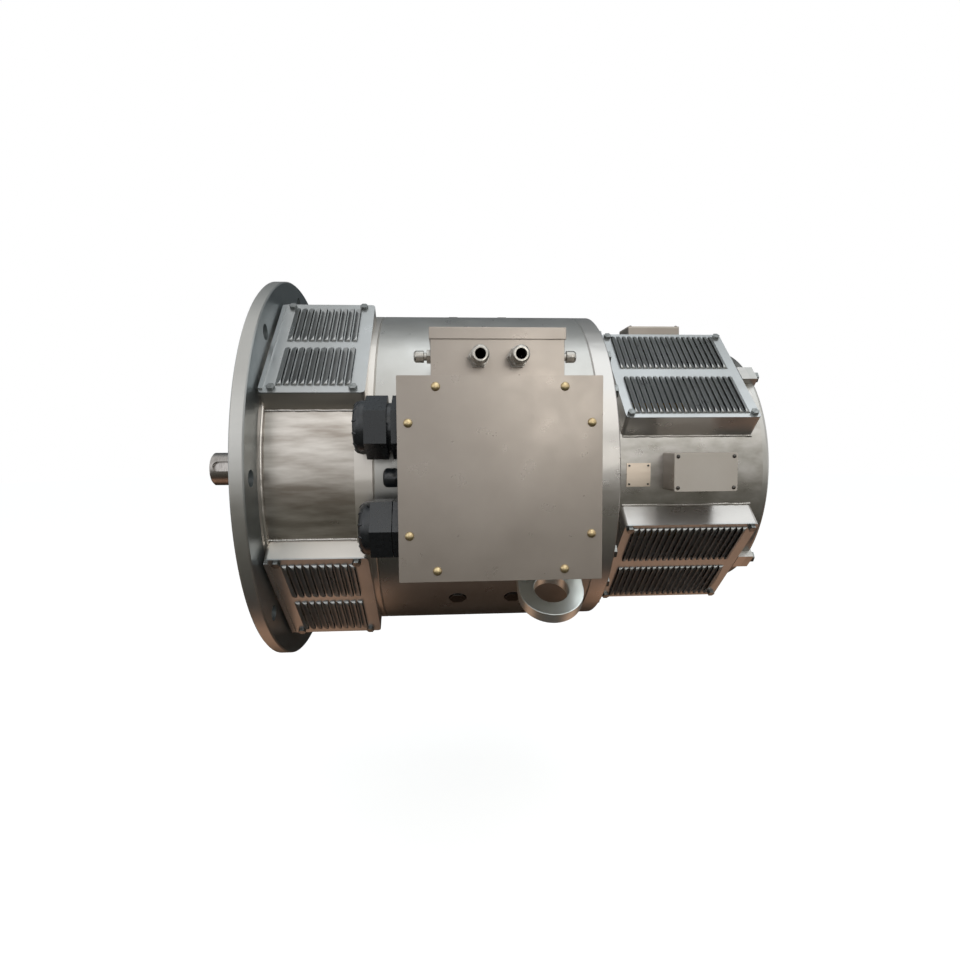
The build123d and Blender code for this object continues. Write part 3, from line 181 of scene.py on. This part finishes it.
def enamel(name, light, dark, *, flake, gloss, wave_mm, wave_depth_mm, streak=(1, 1, 1),
           streak_mm=70, bright_beyond_mm=None, inner=1.0):
    """Machine paint with drifting grey, patchy gloss, waves in the plate and orange peel."""
    material, tree, shader = new_finish(name, light, metallic=flake, roughness=gloss)
    # An inner value below 1 holds the grey near the dark end inside the radius: painted shade.
    drift = ramp(tree, pattern(tree, streak_mm, streak, detail=4), 0, inner)
    if bright_beyond_mm:
        own = axes(tree)
        across = add(tree, "ShaderNodeCombineXYZ", {"Y": own["Y"], "Z": own["Z"]}).outputs[0]
        radius = add(tree, "ShaderNodeVectorMath", {0: across}, operation="LENGTH")
        beyond = ramp(tree, radius.outputs["Value"], 0, 1,
                      bright_beyond_mm * MM, (bright_beyond_mm + blend_mm) * MM)
        drift = maths(tree, "MAXIMUM", drift, beyond)
    tree.links.new(tint(tree, drift, dark, light), shader.inputs["Base Color"])
    patchy = pattern(tree, gloss_patch_mm, streak, detail=4)
    polish = ramp(tree, patchy, gloss - glossier, gloss + duller)
    tree.links.new(polish, shader.inputs["Roughness"])
    waves = relief(tree, shader, pattern(tree, wave_mm, streak, detail=0.6), wave_depth_mm)
    relief(tree, shader, pattern(tree, peel_mm, detail=0), peel_depth_mm, below=waves)
    return material


enamel_smooth = enamel("silver_paint_smooth", "#b7b6b2", "#a8a6a1", flake=0.8, gloss=0.3,
                       wave_mm=48, wave_depth_mm=0.35)
# The flange's two faces take the dark grey inside the rim as painted shade; only the rim keeps the
# light grey.
enamel_flange_painted_shade = enamel("silver_paint_flange_painted_shade", "#b1b0ac", "#81888a", flake=0.8, gloss=0.34,
                       wave_mm=48, wave_depth_mm=0.2, bright_beyond_mm=327, inner=0.25)
enamel_sheet = enamel("silver_paint_sheet", "#b4b6b6", "#a9abaa", flake=0.8, gloss=0.3,
                      wave_mm=60, wave_depth_mm=0.12)
print("paints:", enamel_smooth.name, enamel_flange_painted_shade.name, enamel_sheet.name)

# %% [markdown]
# The end shields are welded from plate and were brushed by hand before and after painting,
# so their grey runs in streaks along the shaft. Stretching the same noise along X draws
# them. They stay on the barrels, and the frames and rings that stand out past a barrel keep
# the light grey. The boxes are separate sheet-steel housings in a warmer, more satin grey,
# and the lifting lugs are almost white.

# %% Paint on the shields, boxes and lugs
enamel_brushed = enamel("silver_paint_brushed", "#cdc8c1", "#978f86", flake=0.85, gloss=0.3,
                        wave_mm=15, wave_depth_mm=0.35, streak=(6, 1, 1), streak_mm=13,
                        bright_beyond_mm=268)
enamel_welded = enamel("silver_paint_welded", "#bbb8b4", "#9d9a93", flake=0.8, gloss=0.29,
                       wave_mm=19, wave_depth_mm=0.45, streak=(2, 1, 1), streak_mm=16,
                       bright_beyond_mm=214)
enamel_box = enamel("warm_grey_enamel", "#aaa198", "#a0978e", flake=0.55, gloss=0.3,
                    wave_mm=150, wave_depth_mm=0.12)
enamel_small_box = enamel("warm_grey_enamel_light", "#c8c1b8", "#c0b8ae", flake=0.4,
                          gloss=0.36, wave_mm=60, wave_depth_mm=0.15)
enamel_lug = enamel("silver_paint_lug", "#eef5f3", "#dfe7e5", flake=0.9, gloss=0.36,
                    wave_mm=16, wave_depth_mm=0.2)
print("paints:", enamel_brushed.name, enamel_welded.name, enamel_box.name, enamel_lug.name)

# %% [markdown]
# ## Bare and plated metals
# Metals keep a metallic value of 1 and the default IOR, and differ in colour, roughness
# and in the marks that made them. The shaft is turned, so fine rings run round it: noise
# squeezed along X draws them, at 1.5 mm instead of the real 0.2 mm so that they show.

# %% Metals
more_polish, less_polish = 0.06, 0.1


def metal(name, colour, dark, roughness, size_mm, stretch=(1, 1, 1), depth_mm=0.02):
    """Metal whose tone, polish and relief follow one pattern."""
    material, tree, shader = new_finish(name, colour, metallic=1.0, roughness=roughness)
    marks = pattern(tree, size_mm, stretch)
    tree.links.new(tint(tree, ramp(tree, marks, 0, 1), dark, colour), shader.inputs["Base Color"])
    polish = ramp(tree, marks, roughness + less_polish, roughness - more_polish)
    tree.links.new(polish, shader.inputs["Roughness"])
    relief(tree, shader, marks, depth_mm)
    return material


turned_steel = metal("turned_steel", "#aaa6a2", "#8e8a86", 0.32, 12, (0.12, 1, 1))
ground_steel = metal("ground_bearing_steel", "#d0d1d2", "#b9babc", 0.16, 6)
zinc_yellow = metal("yellow_zinc_plate", "#c9ba90", "#b59f7c", 0.36, 4)
zinc_grey = metal("grey_zinc_plate", "#8f9190", "#6d706f", 0.34, 5)
zinc_dark = metal("darkened_steel", "#5d5b58", "#464441", 0.38, 5)
nickel = metal("nickel_plated_brass", "#aaa7a1", "#97948e", 0.28, 6, depth_mm=0.005)
brass = metal("machined_brass", "#a98a52", "#8a6c3c", 0.34, 8)
copper = metal("turned_copper", "#8a5d42", "#704832", 0.32, 10, (0.15, 1, 1))
cast_metal = metal("cast_aluminium", "#a9abad", "#8f9193", 0.5, 4, depth_mm=0.15)
plate_metal = metal("brushed_plate", "#eaddce", "#dccebe", 0.45, 14, (6, 1, 1))
laminated = metal("stacked_laminations", "#5c5e60", "#3e4042", 0.5, 12, (0.16, 1, 1), 0.1)
print("metals ready")

# %% [markdown]
# ## Plastics, rubber and varnish
# The big glands are moulded polyamide: black, with a soft sheen from the mould's fine
# texture. The seals are matt rubber. Coils are dipped in varnish, which leaves a dark
# brown, uneven gloss, and the terminal board is a pressed laminate.

# %% Plastics and varnish
plastic_ior = 1.53


def moulded(name, colour, dark, roughness, size_mm, depth_mm):
    """Moulded or dipped surface with a fine texture."""
    material, tree, shader = new_finish(name, colour, roughness=roughness, IOR=plastic_ior)
    grain = pattern(tree, size_mm)
    tree.links.new(tint(tree, ramp(tree, grain, 0, 1), dark, colour), shader.inputs["Base Color"])
    polish = ramp(tree, grain, roughness - more_polish, roughness + less_polish)
    tree.links.new(polish, shader.inputs["Roughness"])
    relief(tree, shader, grain, depth_mm)
    return material


nylon = moulded("black_polyamide", "#22262a", "#191d21", 0.3, 5, 0.01)
rubber = moulded("black_rubber", "#1f2021", "#18191a", 0.75, 4, 0.08)
varnish = moulded("coil_varnish", "#33201a", "#221511", 0.36, 9, 0.4)
board = moulded("pressed_laminate", "#7a3a22", "#64301d", 0.35, 12, 0.05)
carbon = moulded("pressed_carbon", "#2b2b2c", "#212122", 0.55, 3, 0.04)
print("plastics ready")

# %% [markdown]
# ## Dressing the CAD nodes
# A node that already has the right shape only needs its finish, so its material slots are
# filled from a list. The interior shows a little through the louvres.

# %% Finishes of the nodes
finishes = {
    enamel_flange_painted_shade: ["mounting_flange"],
    enamel_smooth: ["yoke", "end_plate", "d_bearing_cap", "n_bearing_cap"],
    enamel_brushed: ["d_end_shield"],
    enamel_welded: ["n_end_shield"],
    enamel_sheet: [f"{end}_louvre_cover_{i}" for end in "dn" for i in (1, 2, 3, 4)],
    enamel_lug: ["lifting_lug_1", "lifting_lug_2"],
    enamel_box: ["terminal_box", "terminal_box_cover", "aux_box", "aux_box_lid", "junction_boxes"],
    enamel_small_box: ["junction_covers"],
    turned_steel: ["shaft"],
    ground_steel: ["d_bearing_inner_ring", "d_bearing_outer_ring", "d_bearing_rollers",
                   "n_bearing_inner_ring", "n_bearing_outer_ring", "n_bearing_balls"],
    zinc_yellow: ["terminal_box_bolts"],
    zinc_grey: ["cover_bolts", "shield_bolts", "cap_screws"],
    zinc_dark: ["pole_bolts", "junction_screws", "nameplate_rivets"],
    nickel: ["aux_gland_bodies", "aux_gland_nuts", "aux_side_glands", "junction_glands"],
    nylon: ["gland_bodies", "gland_nuts", "blanking_plug"],
    rubber: ["gland_seals", "terminal_box_gasket"],
    board: ["terminal_board"],
    brass: ["terminal_studs", "brush_arms"],
    plate_metal: ["nameplate"],
    laminated: ["main_poles", "interpoles", "armature_core"],
    varnish: ["field_coils", "interpole_coils", "armature_winding"],
    copper: ["commutator"],
    cast_metal: ["fan", "brush_rocker"],
    carbon: ["brushes"],
}
finish_of = {}
for material, names in finishes.items():
    for name in names:
        mesh = nodes[name].data
        mesh.materials.clear()
        mesh.materials.append(material)
        finish_of[name] = material
print("dressed", len(finish_of), "of", len(nodes))

# %% [markdown]
# ## Eased edges
# No folded sheet or bolt head ends in a knife edge: a small radius catches a thin line of
# light. The CAD solids keep sharp edges, so these nodes are copied, the copy's loose
# triangles are merged and its flat faces dissolved back to whole ones, and a Bevel
# modifier rounds only the edges that turn by more than 40 degrees. The faces stay shaded
# flat because the modifier hardens their normals.


# %% Round the edges of copies
def put(name, shape):
    """Turn a finished bmesh into an object in the scene."""
    mesh = bpy.data.meshes.new(name)
    shape.to_mesh(mesh)
    shape.free()
    made = bpy.data.objects.new(name, mesh)
    bpy.context.collection.objects.link(made)
    return made


def settle(name, shape, material, body="housing", sharp=30):
    """Turn a finished bmesh into a piece that rides on a body."""
    for face in shape.faces:
        face.smooth = True
    piece = put(name, shape)
    piece.data.set_sharp_from_angle(angle=radians(sharp))
    piece.data.materials.append(material)
    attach(piece, body)
    return piece


def whole_faces(name):
    """A merged copy of a node's mesh with its flat faces whole again."""
    shape = bmesh.new()
    shape.from_mesh(nodes[name].data)
    bmesh.ops.remove_doubles(shape, verts=shape.verts, dist=same_point)
    bmesh.ops.dissolve_limit(shape, angle_limit=radians(1), verts=shape.verts, edges=shape.edges)
    return shape


def ease(name, width_mm):
    """A copy of a node with rounded edges, which stands for the node."""
    piece = settle(name + "_eased", whole_faces(name), finish_of[name])
    rounding = piece.modifiers.new("eased edges", "BEVEL")
    rounding.width = width_mm * MM
    rounding.segments = 2
    rounding.limit_method = "ANGLE"
    rounding.angle_limit = radians(40)
    rounding.harden_normals = True
    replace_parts(piece, name)
    return piece


edge_widths_mm = {
    "terminal_box_cover": 0.9, "aux_box": 0.8, "aux_box_lid": 0.9, "junction_covers": 1.2,
    "shield_bolts": 1.0, "pole_bolts": 1.2, "cap_screws": 0.8, "cover_bolts": 0.9,
    "gland_bodies": 0.8, "gland_nuts": 0.9, "blanking_plug": 0.9,
    "aux_gland_bodies": 0.5, "aux_gland_nuts": 0.6, "aux_side_glands": 0.6,
    "junction_glands": 0.5, "lifting_lug_1": 1.2, "lifting_lug_2": 1.2,
}
for name, width_mm in edge_widths_mm.items():
    ease(name, width_mm)
print("eased", len(edge_widths_mm), "nodes")

# %% [markdown]
# A press can't draw a knife edge either: the crest of each hood, where the sheet ends over
# the opening, is bent round. Those long crests turn by more than 100 degrees and run across
# the shaft, which tells them from the other edges; they catch the light from above.

# %% Rounded crests on the louvres
crest_radius = 0.7 * MM
crest_shortest = 25 * MM
crest_slant = 0.1 * MM
crest_turn = radians(100)


def is_crest(edge):
    """True for the long sharp edge over a hood's opening."""
    run = edge.verts[1].co - edge.verts[0].co
    crosswise = run.length > crest_shortest and abs(run.x) < crest_slant
    return crosswise and edge.calc_face_angle(0) > crest_turn


for end in "dn":
    for index in (1, 2, 3, 4):
        name = f"{end}_louvre_cover_{index}"
        shape = whole_faces(name)
        crests = [edge for edge in shape.edges if is_crest(edge)]
        bmesh.ops.bevel(shape, geom=crests, offset=crest_radius, offset_type="OFFSET", segments=3,
                        profile=0.5, affect="EDGES", clamp_overlap=True, material=-1)
        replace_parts(settle(name + "_pressed", shape, finish_of[name], sharp=9), name)
    print(end, "covers:", len(crests), "crests each")

# %% [markdown]
# ## Box screws
# The terminal box is shut by eight round-headed cross-recess screws in yellow zinc. The
# head is the cap of a sphere pressed flat to its height. Four cuts mark the cross on it,
# and the faces inside the cross are pushed down: a stamped recess is made the same way.

# %% One round head with its cross
head_radius = 5.8 * MM
head_height = 4 * MM
cross_half_width = 0.75 * MM
cross_reach = 3 * MM
recess_depth = 1.5 * MM


def cut(shape, at, normal, **options):
    """Cut a whole bmesh with a plane."""
    everything = shape.verts[:] + shape.edges[:] + shape.faces[:]
    bmesh.ops.bisect_plane(shape, geom=everything, plane_co=at, plane_no=normal, **options)


head = bmesh.new()
bmesh.ops.create_uvsphere(head, u_segments=24, v_segments=12, radius=head_radius)
bmesh.ops.scale(head, verts=head.verts, vec=(1, 1, head_height / head_radius))
cut(head, (0, 0, 0), (0, 0, 1), clear_inner=True)
for reach in (-cross_reach, -cross_half_width, cross_half_width, cross_reach):
    for direction in ((1, 0, 0), (0, 1, 0)):
        cut(head, Vector(direction) * reach, direction)
cross = []
for face in head.faces:
    middle = face.calc_center_median()
    near, far = sorted((abs(middle.x), abs(middle.y)))
    if near < cross_half_width and far < cross_reach:
        cross.append(face)
pushed = bmesh.ops.extrude_face_region(head, geom=cross)
recess = [v for v in pushed["geom"] if isinstance(v, bmesh.types.BMVert)]
bmesh.ops.translate(head, verts=recess, vec=(0, 0, -recess_depth))
to_front = Matrix.Rotation(radians(90), 3, "X")
bmesh.ops.rotate(head, verts=head.verts, cent=(0, 0, 0), matrix=to_front)
head_mesh = bpy.data.meshes.new("round_head")
head.to_mesh(head_mesh)
head.free()
print("screw head:", len(head_mesh.polygons), "faces, of which", len(cross), "in the cross")

# %% [markdown]
# Eight copies stand on the cover, two near each corner and each turned its own way, as
# screws stop where they are tight.

# %% Screws of the terminal box
screw_offsets_mm = ((82, 117), (117, 71.5))
first_turn, next_turn = 17, 41


def join(shape, mesh):
    """Add a mesh to a bmesh and return the vertices that it brings."""
    known = len(shape.verts)
    shape.from_mesh(mesh)
    shape.verts.ensure_lookup_table()
    return shape.verts[known:]


cover_low, cover_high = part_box("terminal_box_cover")
box_middle_x = (cover_low.x + cover_high.x) / 2
screw_places = [(way_x * x, way_z * z) for x, z in screw_offsets_mm
                for way_x in (-1, 1) for way_z in (-1, 1)]
heads = bmesh.new()
for index, (x, z) in enumerate(screw_places):
    new = join(heads, head_mesh)
    turned = Matrix.Rotation(radians(first_turn + next_turn * index), 3, "Y")
    bmesh.ops.rotate(heads, verts=new, cent=(0, 0, 0), matrix=turned)
    place = (box_middle_x + x * MM, cover_low.y, z * MM)
    bmesh.ops.translate(heads, verts=new, vec=place)
box_screws = settle("box_screw_heads", heads, zinc_yellow, sharp=50)
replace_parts(box_screws, "terminal_box_bolts")
print("box screws:", len(screw_places), "faces:", len(box_screws.data.polygons))

# %% [markdown]
# The lids of the two junction boxes are held by the same kind of screw at half the size,
# blackened. One box faces the front and its twin sits on top of the barrel.

# %% Screws of the junction boxes
small_head = (0.52, 0.6, 0.52)
junction_middle_x, junction_lid_y = 674, -258.5
junction_screw_x, junction_screw_z = 43, 23.5

small_heads = bmesh.new()
for angle in (0, 90):
    round_barrel = Matrix.Rotation(radians(-angle), 3, "X")
    for way_x in (-1, 1):
        for way_z in (-1, 1):
            new = join(small_heads, head_mesh)
            place = Vector((junction_middle_x + way_x * junction_screw_x, junction_lid_y,
                            way_z * junction_screw_z)) * MM
            bmesh.ops.scale(small_heads, verts=new, vec=small_head)
            bmesh.ops.translate(small_heads, verts=new, vec=place)
            bmesh.ops.rotate(small_heads, verts=new, cent=(0, 0, 0), matrix=round_barrel)
junction_heads = settle("junction_screw_heads", small_heads, zinc_dark, sharp=50)
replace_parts(junction_heads, "junction_screws")
print("junction screws at", [round(v, 3) for v in junction_heads.bound_box[0]])

# %% [markdown]
# ## Ribs on the gland domes
# The dome nut of a large cable gland has short ribs round its shoulder, for a grip by
# hand. Each one here is a small ball stretched along the dome's slope, twelve to a dome.

# %% Ribs
rib_count = 12
rib_half_mm = (4.5, 2.4, 1.2)
rib_lift_mm = 32.2
dome_slope = radians(-45)
gland_y = -318
glands = ((67.5, 166.8), (-67.5, 171.8))

ribs = bmesh.new()
for gland_z, shoulder_x in glands:
    for index in range(rib_count):
        around = Matrix.Rotation(2 * pi * (index + 0.5) / rib_count, 4, "X")
        place = Matrix.Translation(Vector((shoulder_x, gland_y, gland_z)) * MM)
        lift = Matrix.Translation(Vector((0, 0, rib_lift_mm)) * MM)
        slope = Matrix.Rotation(dome_slope, 4, "Y")
        stretch = Matrix.Diagonal([half * MM for half in rib_half_mm] + [1])
        bmesh.ops.create_icosphere(ribs, subdivisions=2, radius=1,
                                   matrix=place @ around @ lift @ slope @ stretch)
settle("gland_ribs", ribs, nylon, sharp=180)
print("ribs:", len(glands) * rib_count)

# %% [markdown]
# ## Weld beads
# The window frames and the flange are welded to the barrels, and the paint doesn't hide
# the beads' ripples. A bead is a thin rod in short steps whose radius swells at each
# ripple; a little noise keeps them uneven, as a hand-laid bead is.

# %% Beads along the window frames
bead_sides = 8
frame_bead_mm = 1.9
bead_step_mm = 1.3
ripple_mm, ripple_share = 4, 0.1
uneven_per_mm, uneven_share = 0.11, 0.45
wander_per_mm, wander_seed = 0.05, 9
wander = 0.8 * MM


def bead(length_mm, radius_mm, seed):
    """Rod from x = 0 to its length, with ripples along it."""
    steps = round(length_mm / bead_step_mm)
    rod = bmesh.new()
    upright = Matrix.Rotation(radians(90), 4, "Y")
    bmesh.ops.create_circle(rod, cap_ends=True, segments=bead_sides, radius=radius_mm * MM,
                            matrix=upright)
    bmesh.ops.spin(rod, geom=rod.verts[:] + rod.edges[:] + rod.faces[:], cent=(0, 0, 0),
                   axis=(1, 0, 0), dvec=(length_mm * MM / steps, 0, 0), angle=0, steps=steps,
                   use_merge=False)
    bmesh.ops.recalc_face_normals(rod, faces=rod.faces)
    for vert in rod.verts:
        along = vert.co.x / MM
        uneven = noise.noise(Vector((along * uneven_per_mm, seed, 0)))
        swell = 1 + ripple_share * cos(2 * pi * along / ripple_mm) + uneven_share * uneven
        vert.co.y *= swell
        vert.co.z *= swell
        vert.co.z += wander * noise.noise(Vector((along * wander_per_mm, wander_seed, seed)))
    return rod


def outward(angle, distance_mm, along_mm=0):
    """Point across the shaft: 0 degrees is the box side, 90 is up; along runs square to it."""
    turn = radians(angle)
    return Vector((0, -cos(turn) * distance_mm + sin(turn) * along_mm,
                   sin(turn) * distance_mm + cos(turn) * along_mm)) * MM


# For each end: where the frames start, their length and half width, and the barrel's radius.
frames_mm = {"d": (26, 144, 110, 267), "n": (562, 208, 107, 213)}
frame_gap_mm = 0.4
beads = bmesh.new()
for start, length, half_width, barrel in frames_mm.values():
    depth = sqrt(barrel ** 2 - half_width ** 2)
    for index, angle in enumerate((45, 135, 225, 315)):
        for side in (-1, 1):
            rod = bead(length, frame_bead_mm, 3 * index + side)
            rod_mesh = bpy.data.meshes.new("rod")
            rod.to_mesh(rod_mesh)
            rod.free()
            edge = outward(angle, depth, side * (half_width + frame_gap_mm))
            place = edge + Vector((start * MM, 0, 0))
            bmesh.ops.translate(beads, verts=join(beads, rod_mesh), vec=place)
            bpy.data.meshes.remove(rod_mesh)
frame_beads = settle("frame_weld_beads", beads, enamel_welded, sharp=60)
print("frame beads:", len(frame_beads.data.polygons), "faces")

# %% [markdown]
# The bead between barrel and flange runs all the way round, so its section is spun about
# the shaft's axis, and the ripples are then added by angle.

# %% Bead round the flange
ring_bead_radius = 3 * MM
ring_x = 24 * MM
ring_mm = 269.5
ring_steps = 640
ring_ripple_mm, ring_ripple_share = 5, 0.14
ring_uneven_per_mm, ring_uneven_share = 0.07, 0.3
ring_seeds = (2, 5)

ring_bead = bmesh.new()
seat = Matrix.Translation((ring_x, 0, ring_mm * MM)) @ Matrix.Rotation(radians(90), 4, "X")
bmesh.ops.create_circle(ring_bead, segments=bead_sides, radius=ring_bead_radius, matrix=seat)
bmesh.ops.spin(ring_bead, geom=ring_bead.verts[:] + ring_bead.edges[:], cent=(0, 0, 0),
               axis=(1, 0, 0), angle=2 * pi, steps=ring_steps, use_merge=True)
bmesh.ops.remove_doubles(ring_bead, verts=ring_bead.verts, dist=same_point)
bmesh.ops.recalc_face_normals(ring_bead, faces=ring_bead.faces)
for vert in ring_bead.verts:
    radial = Vector((0, vert.co.y, vert.co.z)).normalized()
    core = radial * ring_mm * MM + Vector((ring_x, 0, 0))
    arc_mm = radial.angle(Vector((0, 0, 1))) * ring_mm * (1 if radial.y > 0 else -1)
    uneven = noise.noise(Vector((arc_mm * ring_uneven_per_mm, *ring_seeds)))
    ripple = ring_ripple_share * cos(2 * pi * arc_mm / ring_ripple_mm)
    swell = 1 + ripple + ring_uneven_share * uneven
    vert.co = core + (vert.co - core) * swell
settle("flange_weld_bead", ring_bead, enamel_brushed, sharp=60)
print("flange bead:", round(ring_mm * 2 * pi), "mm long")

# %% [markdown]
# ## Floor, backdrop and light
# The studio is a wide pale floor under a white surround. Seen by the camera, or mirrored
# in metal, both are white; to the soft light between surfaces the floor is a dull brown,
# so that the underside of the motor stays dark as it does over a workshop floor.

# %% Floor and surround
floor_radius = 14
floor_middle = (0.35, 0, -0.72)
floor_glow = 0.6
room_strength = 0.55


def bare_tree(owner):
    """The emptied node tree of a new material or world."""
    owner.use_nodes = True
    owner.node_tree.nodes.clear()
    return owner.node_tree


def seen_directly(tree):
    """1 for rays from the camera, from a mirror or through glass, and 0 for soft light."""
    ray = add(tree, "ShaderNodeLightPath").outputs
    mirrored = maths(tree, "MAXIMUM", ray["Is Camera Ray"], ray["Is Glossy Ray"])
    return maths(tree, "MAXIMUM", mirrored, ray["Is Transmission Ray"])


floor_shape = bmesh.new()
bmesh.ops.create_circle(floor_shape, cap_ends=True, segments=96, radius=floor_radius)
bmesh.ops.translate(floor_shape, verts=floor_shape.verts, vec=floor_middle)
floor = put("floor", floor_shape)

floor_paint = bpy.data.materials.new("studio_floor")
tree = bare_tree(floor_paint)
direct = seen_directly(tree)
pale = add(tree, "ShaderNodeBsdfDiffuse", {"Color": linear("#fbfaf8")})
glow = add(tree, "ShaderNodeEmission", {"Color": linear("#ffffff"), "Strength": floor_glow})
bright = add(tree, "ShaderNodeAddShader", {0: pale.outputs[0], 1: glow.outputs[0]})
dull = add(tree, "ShaderNodeBsdfDiffuse", {"Color": linear("#50473d")})
both = add(tree, "ShaderNodeMixShader", {0: direct, 1: dull.outputs[0], 2: bright.outputs[0]})
add(tree, "ShaderNodeOutputMaterial", {"Surface": both.outputs[0]})
floor.data.materials.append(floor_paint)

world = bpy.data.worlds.new("surround")
bpy.context.scene.world = world
tree = bare_tree(world)
direct = seen_directly(tree)
white = add(tree, "ShaderNodeBackground", {"Color": linear("#ffffff"), "Strength": 1.0})
room = add(tree, "ShaderNodeBackground", {"Color": linear("#dfe4e6"), "Strength": room_strength})
both = add(tree, "ShaderNodeMixShader", {0: direct, 1: room.outputs[0], 2: white.outputs[0]})
add(tree, "ShaderNodeOutputWorld", {"Surface": both.outputs[0]})
bpy.context.scene.view_settings.view_transform = "Standard"
print("floor at", round(floor.data.vertices[0].co.z, 3))

# %% [markdown]
# Shiny things show what stands round them, so product photographers set cards outside the
# picture. The camera and the soft light don't see the cards and they cast no shadow; only
# gloss on paint and metal shows them. They glow with their own colours, lit by no lamp, so
# what they give is a painted reflection. Their colours lie in bands, at places in metres.


# %% Cards that only reflections see
def card(name, half_size, place, turn_x=0):
    """A square board that is seen in reflections alone; returns its nodes and colour socket."""
    sheet = bmesh.new()
    bmesh.ops.create_grid(sheet, x_segments=1, y_segments=1, size=half_size)
    turned = Matrix.Rotation(turn_x, 3, "X")
    bmesh.ops.rotate(sheet, verts=sheet.verts, cent=(0, 0, 0), matrix=turned)
    bmesh.ops.translate(sheet, verts=sheet.verts, vec=place)
    made = put(name, sheet)
    made.visible_camera = False
    made.visible_diffuse = False
    made.visible_shadow = False
    reflection_glow = bpy.data.materials.new(name + "_reflection_glow")
    tree = bare_tree(reflection_glow)
    made.data.materials.append(reflection_glow)
    # The card glows with its own colour: a painted reflection, not a lamp.
    shine = add(tree, "ShaderNodeEmission", {"Strength": 1.0})
    add(tree, "ShaderNodeOutputMaterial", {"Surface": shine.outputs[0]})
    return tree, shine.inputs["Color"]


def bands(tree, value, stops):
    """Tones along a line, from (place, colour) pairs in order."""
    low, high = stops[0][0], stops[-1][0]
    tones = add(tree, "ShaderNodeValToRGB", {"Fac": ramp(tree, value, 0, 1, low, high)})
    elements = tones.color_ramp.elements
    elements[0].color = linear(stops[0][1])
    elements[1].color = linear(stops[-1][1])
    for place, shade in stops[1:-1]:
        elements.new((place - low) / (high - low)).color = linear(shade)
    return tones.outputs["Color"]


print("cards' helpers ready")

# %% [markdown]
# The card below the motor gives the tones of a workshop floor: olive in front, warm brown
# under the drum's belly and nearly black behind, with a deeper shade under the yoke.

# %% Floor card
floor_bands = ((-3.0, "#8e8981"), (-1.4, "#66645b"), (-0.8, "#5d5b52"), (-0.5, "#403f3a"),
               (-0.36, "#22282a"), (-0.27, "#2a2c2a"), (-0.19, "#b18d78"), (-0.1, "#d8ab8e"),
               (0.08, "#b08a70"), (0.28, "#2b241d"), (1.0, "#332b23"), (2.0, "#5a5148"))
yoke_middle_x = 0.37
yoke_shade_half, yoke_shade_end, yoke_shade_share = 0.2, 0.3, 0.92

tree, colour = card("floor_card", half_size=5, place=(0.35, -0.6, -0.66))
own = axes(tree)
x, y = own["X"], own["Y"]
aside = maths(tree, "ABSOLUTE", maths(tree, "SUBTRACT", x, yoke_middle_x))
middle = ramp(tree, aside, yoke_shade_share, 0, yoke_shade_half, yoke_shade_end)
under = ramp(tree, y, 0, 1, from_low=-0.3, from_high=-0.15)
shade = maths(tree, "MULTIPLY", middle, under)
tree.links.new(tint(tree, shade, bands(tree, y, floor_bands), "#1d1611"), colour)
print("floor card:", len(floor_bands), "bands")

# %% [markdown]
# A leaning card behind the motor is dark low down and bright high up, and darker again
# towards the commutator end. It gives the flange, the upper covers and the rims their edge.

# %% Back card
back_bands = ((0.0, "#2c3134"), (0.7, "#3c4245"), (1.2, "#565c5f"), (1.8, "#74797c"),
              (2.4, "#9a9fa1"), (3.0, "#c4c8ca"), (3.4, "#eef1f2"), (4.0, "#f6f9fa"))

tree, colour = card("back_card", half_size=2.6, place=(1.2, 1.75, 1.5), turn_x=radians(125))
own = axes(tree)
fade = ramp(tree, own["X"], 0, 0.85, from_low=0.9, from_high=2.1)
tree.links.new(tint(tree, fade, bands(tree, own["Z"], back_bands), "#15181b"), colour)
print("back card:", len(back_bands), "bands")

# %% [markdown]
# A small card at the front right takes some white off the commutator end's barrel. It is
# grey at its foot and near its inner edge, and fades into the white of the surround.

# %% Front card
front_grey, front_white = "#8d8a85", "#f0eee9"

tree, colour = card("front_card", half_size=0.9, place=(1.97, -2.55, 0.45), turn_x=radians(90))
own = axes(tree)
rise = ramp(tree, own["Z"], 0, 1, from_low=-0.1, from_high=1.2)
fade = ramp(tree, own["X"], 0, 1, from_low=1.25, from_high=1.95)
lifted = tint(tree, rise, front_grey, front_white)
tree.links.new(tint(tree, fade, lifted, front_white), colour)
print("front card: one grey, from", front_grey, "to", front_white)

# %% [markdown]
# The tops of the drum and covers are cool and bright and the fronts fall off to grey, so
# the main lamp is a large soft panel overhead. A second panel stands high behind the
# camera. A small one at the height of the box, like a window, draws the broad sheen on the
# upper right of the box cover, and a weak cool one lights the flange's side from the left.


# %% Lamps
def panel(name, place, aim, size, watts, colour):
    """Rectangular soft panel that faces a point."""
    lamp = bpy.data.lights.new(name, "AREA")
    lamp.shape = "RECTANGLE"
    lamp.size, lamp.size_y = size
    lamp.energy = watts
    lamp.color = linear(colour)[:3]
    stand = bpy.data.objects.new(name, lamp)
    stand.location = place
    stand.rotation_euler = (Vector(aim) - Vector(place)).to_track_quat("-Z", "Y").to_euler()
    bpy.context.collection.objects.link(stand)
    return stand


panel("overhead", place=(1.05, -0.6, 2.1), aim=(1.05, -0.3, 0), size=(2.2, 1.8), watts=13.5,
      colour="#f2faff")
panel("front_high", place=(1.0, -2.3, 1.7), aim=(0.4, -0.2, 0), size=(2.4, 1.6), watts=12.3,
      colour="#fdfbf6")
panel("window", place=(0.86, -2.5, 0.34), aim=(0.4, -0.3, 0), size=(0.5, 0.6), watts=3.2,
      colour="#fdfaf4")
panel("front_left", place=(-1.1, -1.9, 0.9), aim=(0.2, -0.2, 0), size=(1.4, 1.4), watts=4,
      colour="#f6f8ff")
print("lamps:", len(bpy.data.lights))
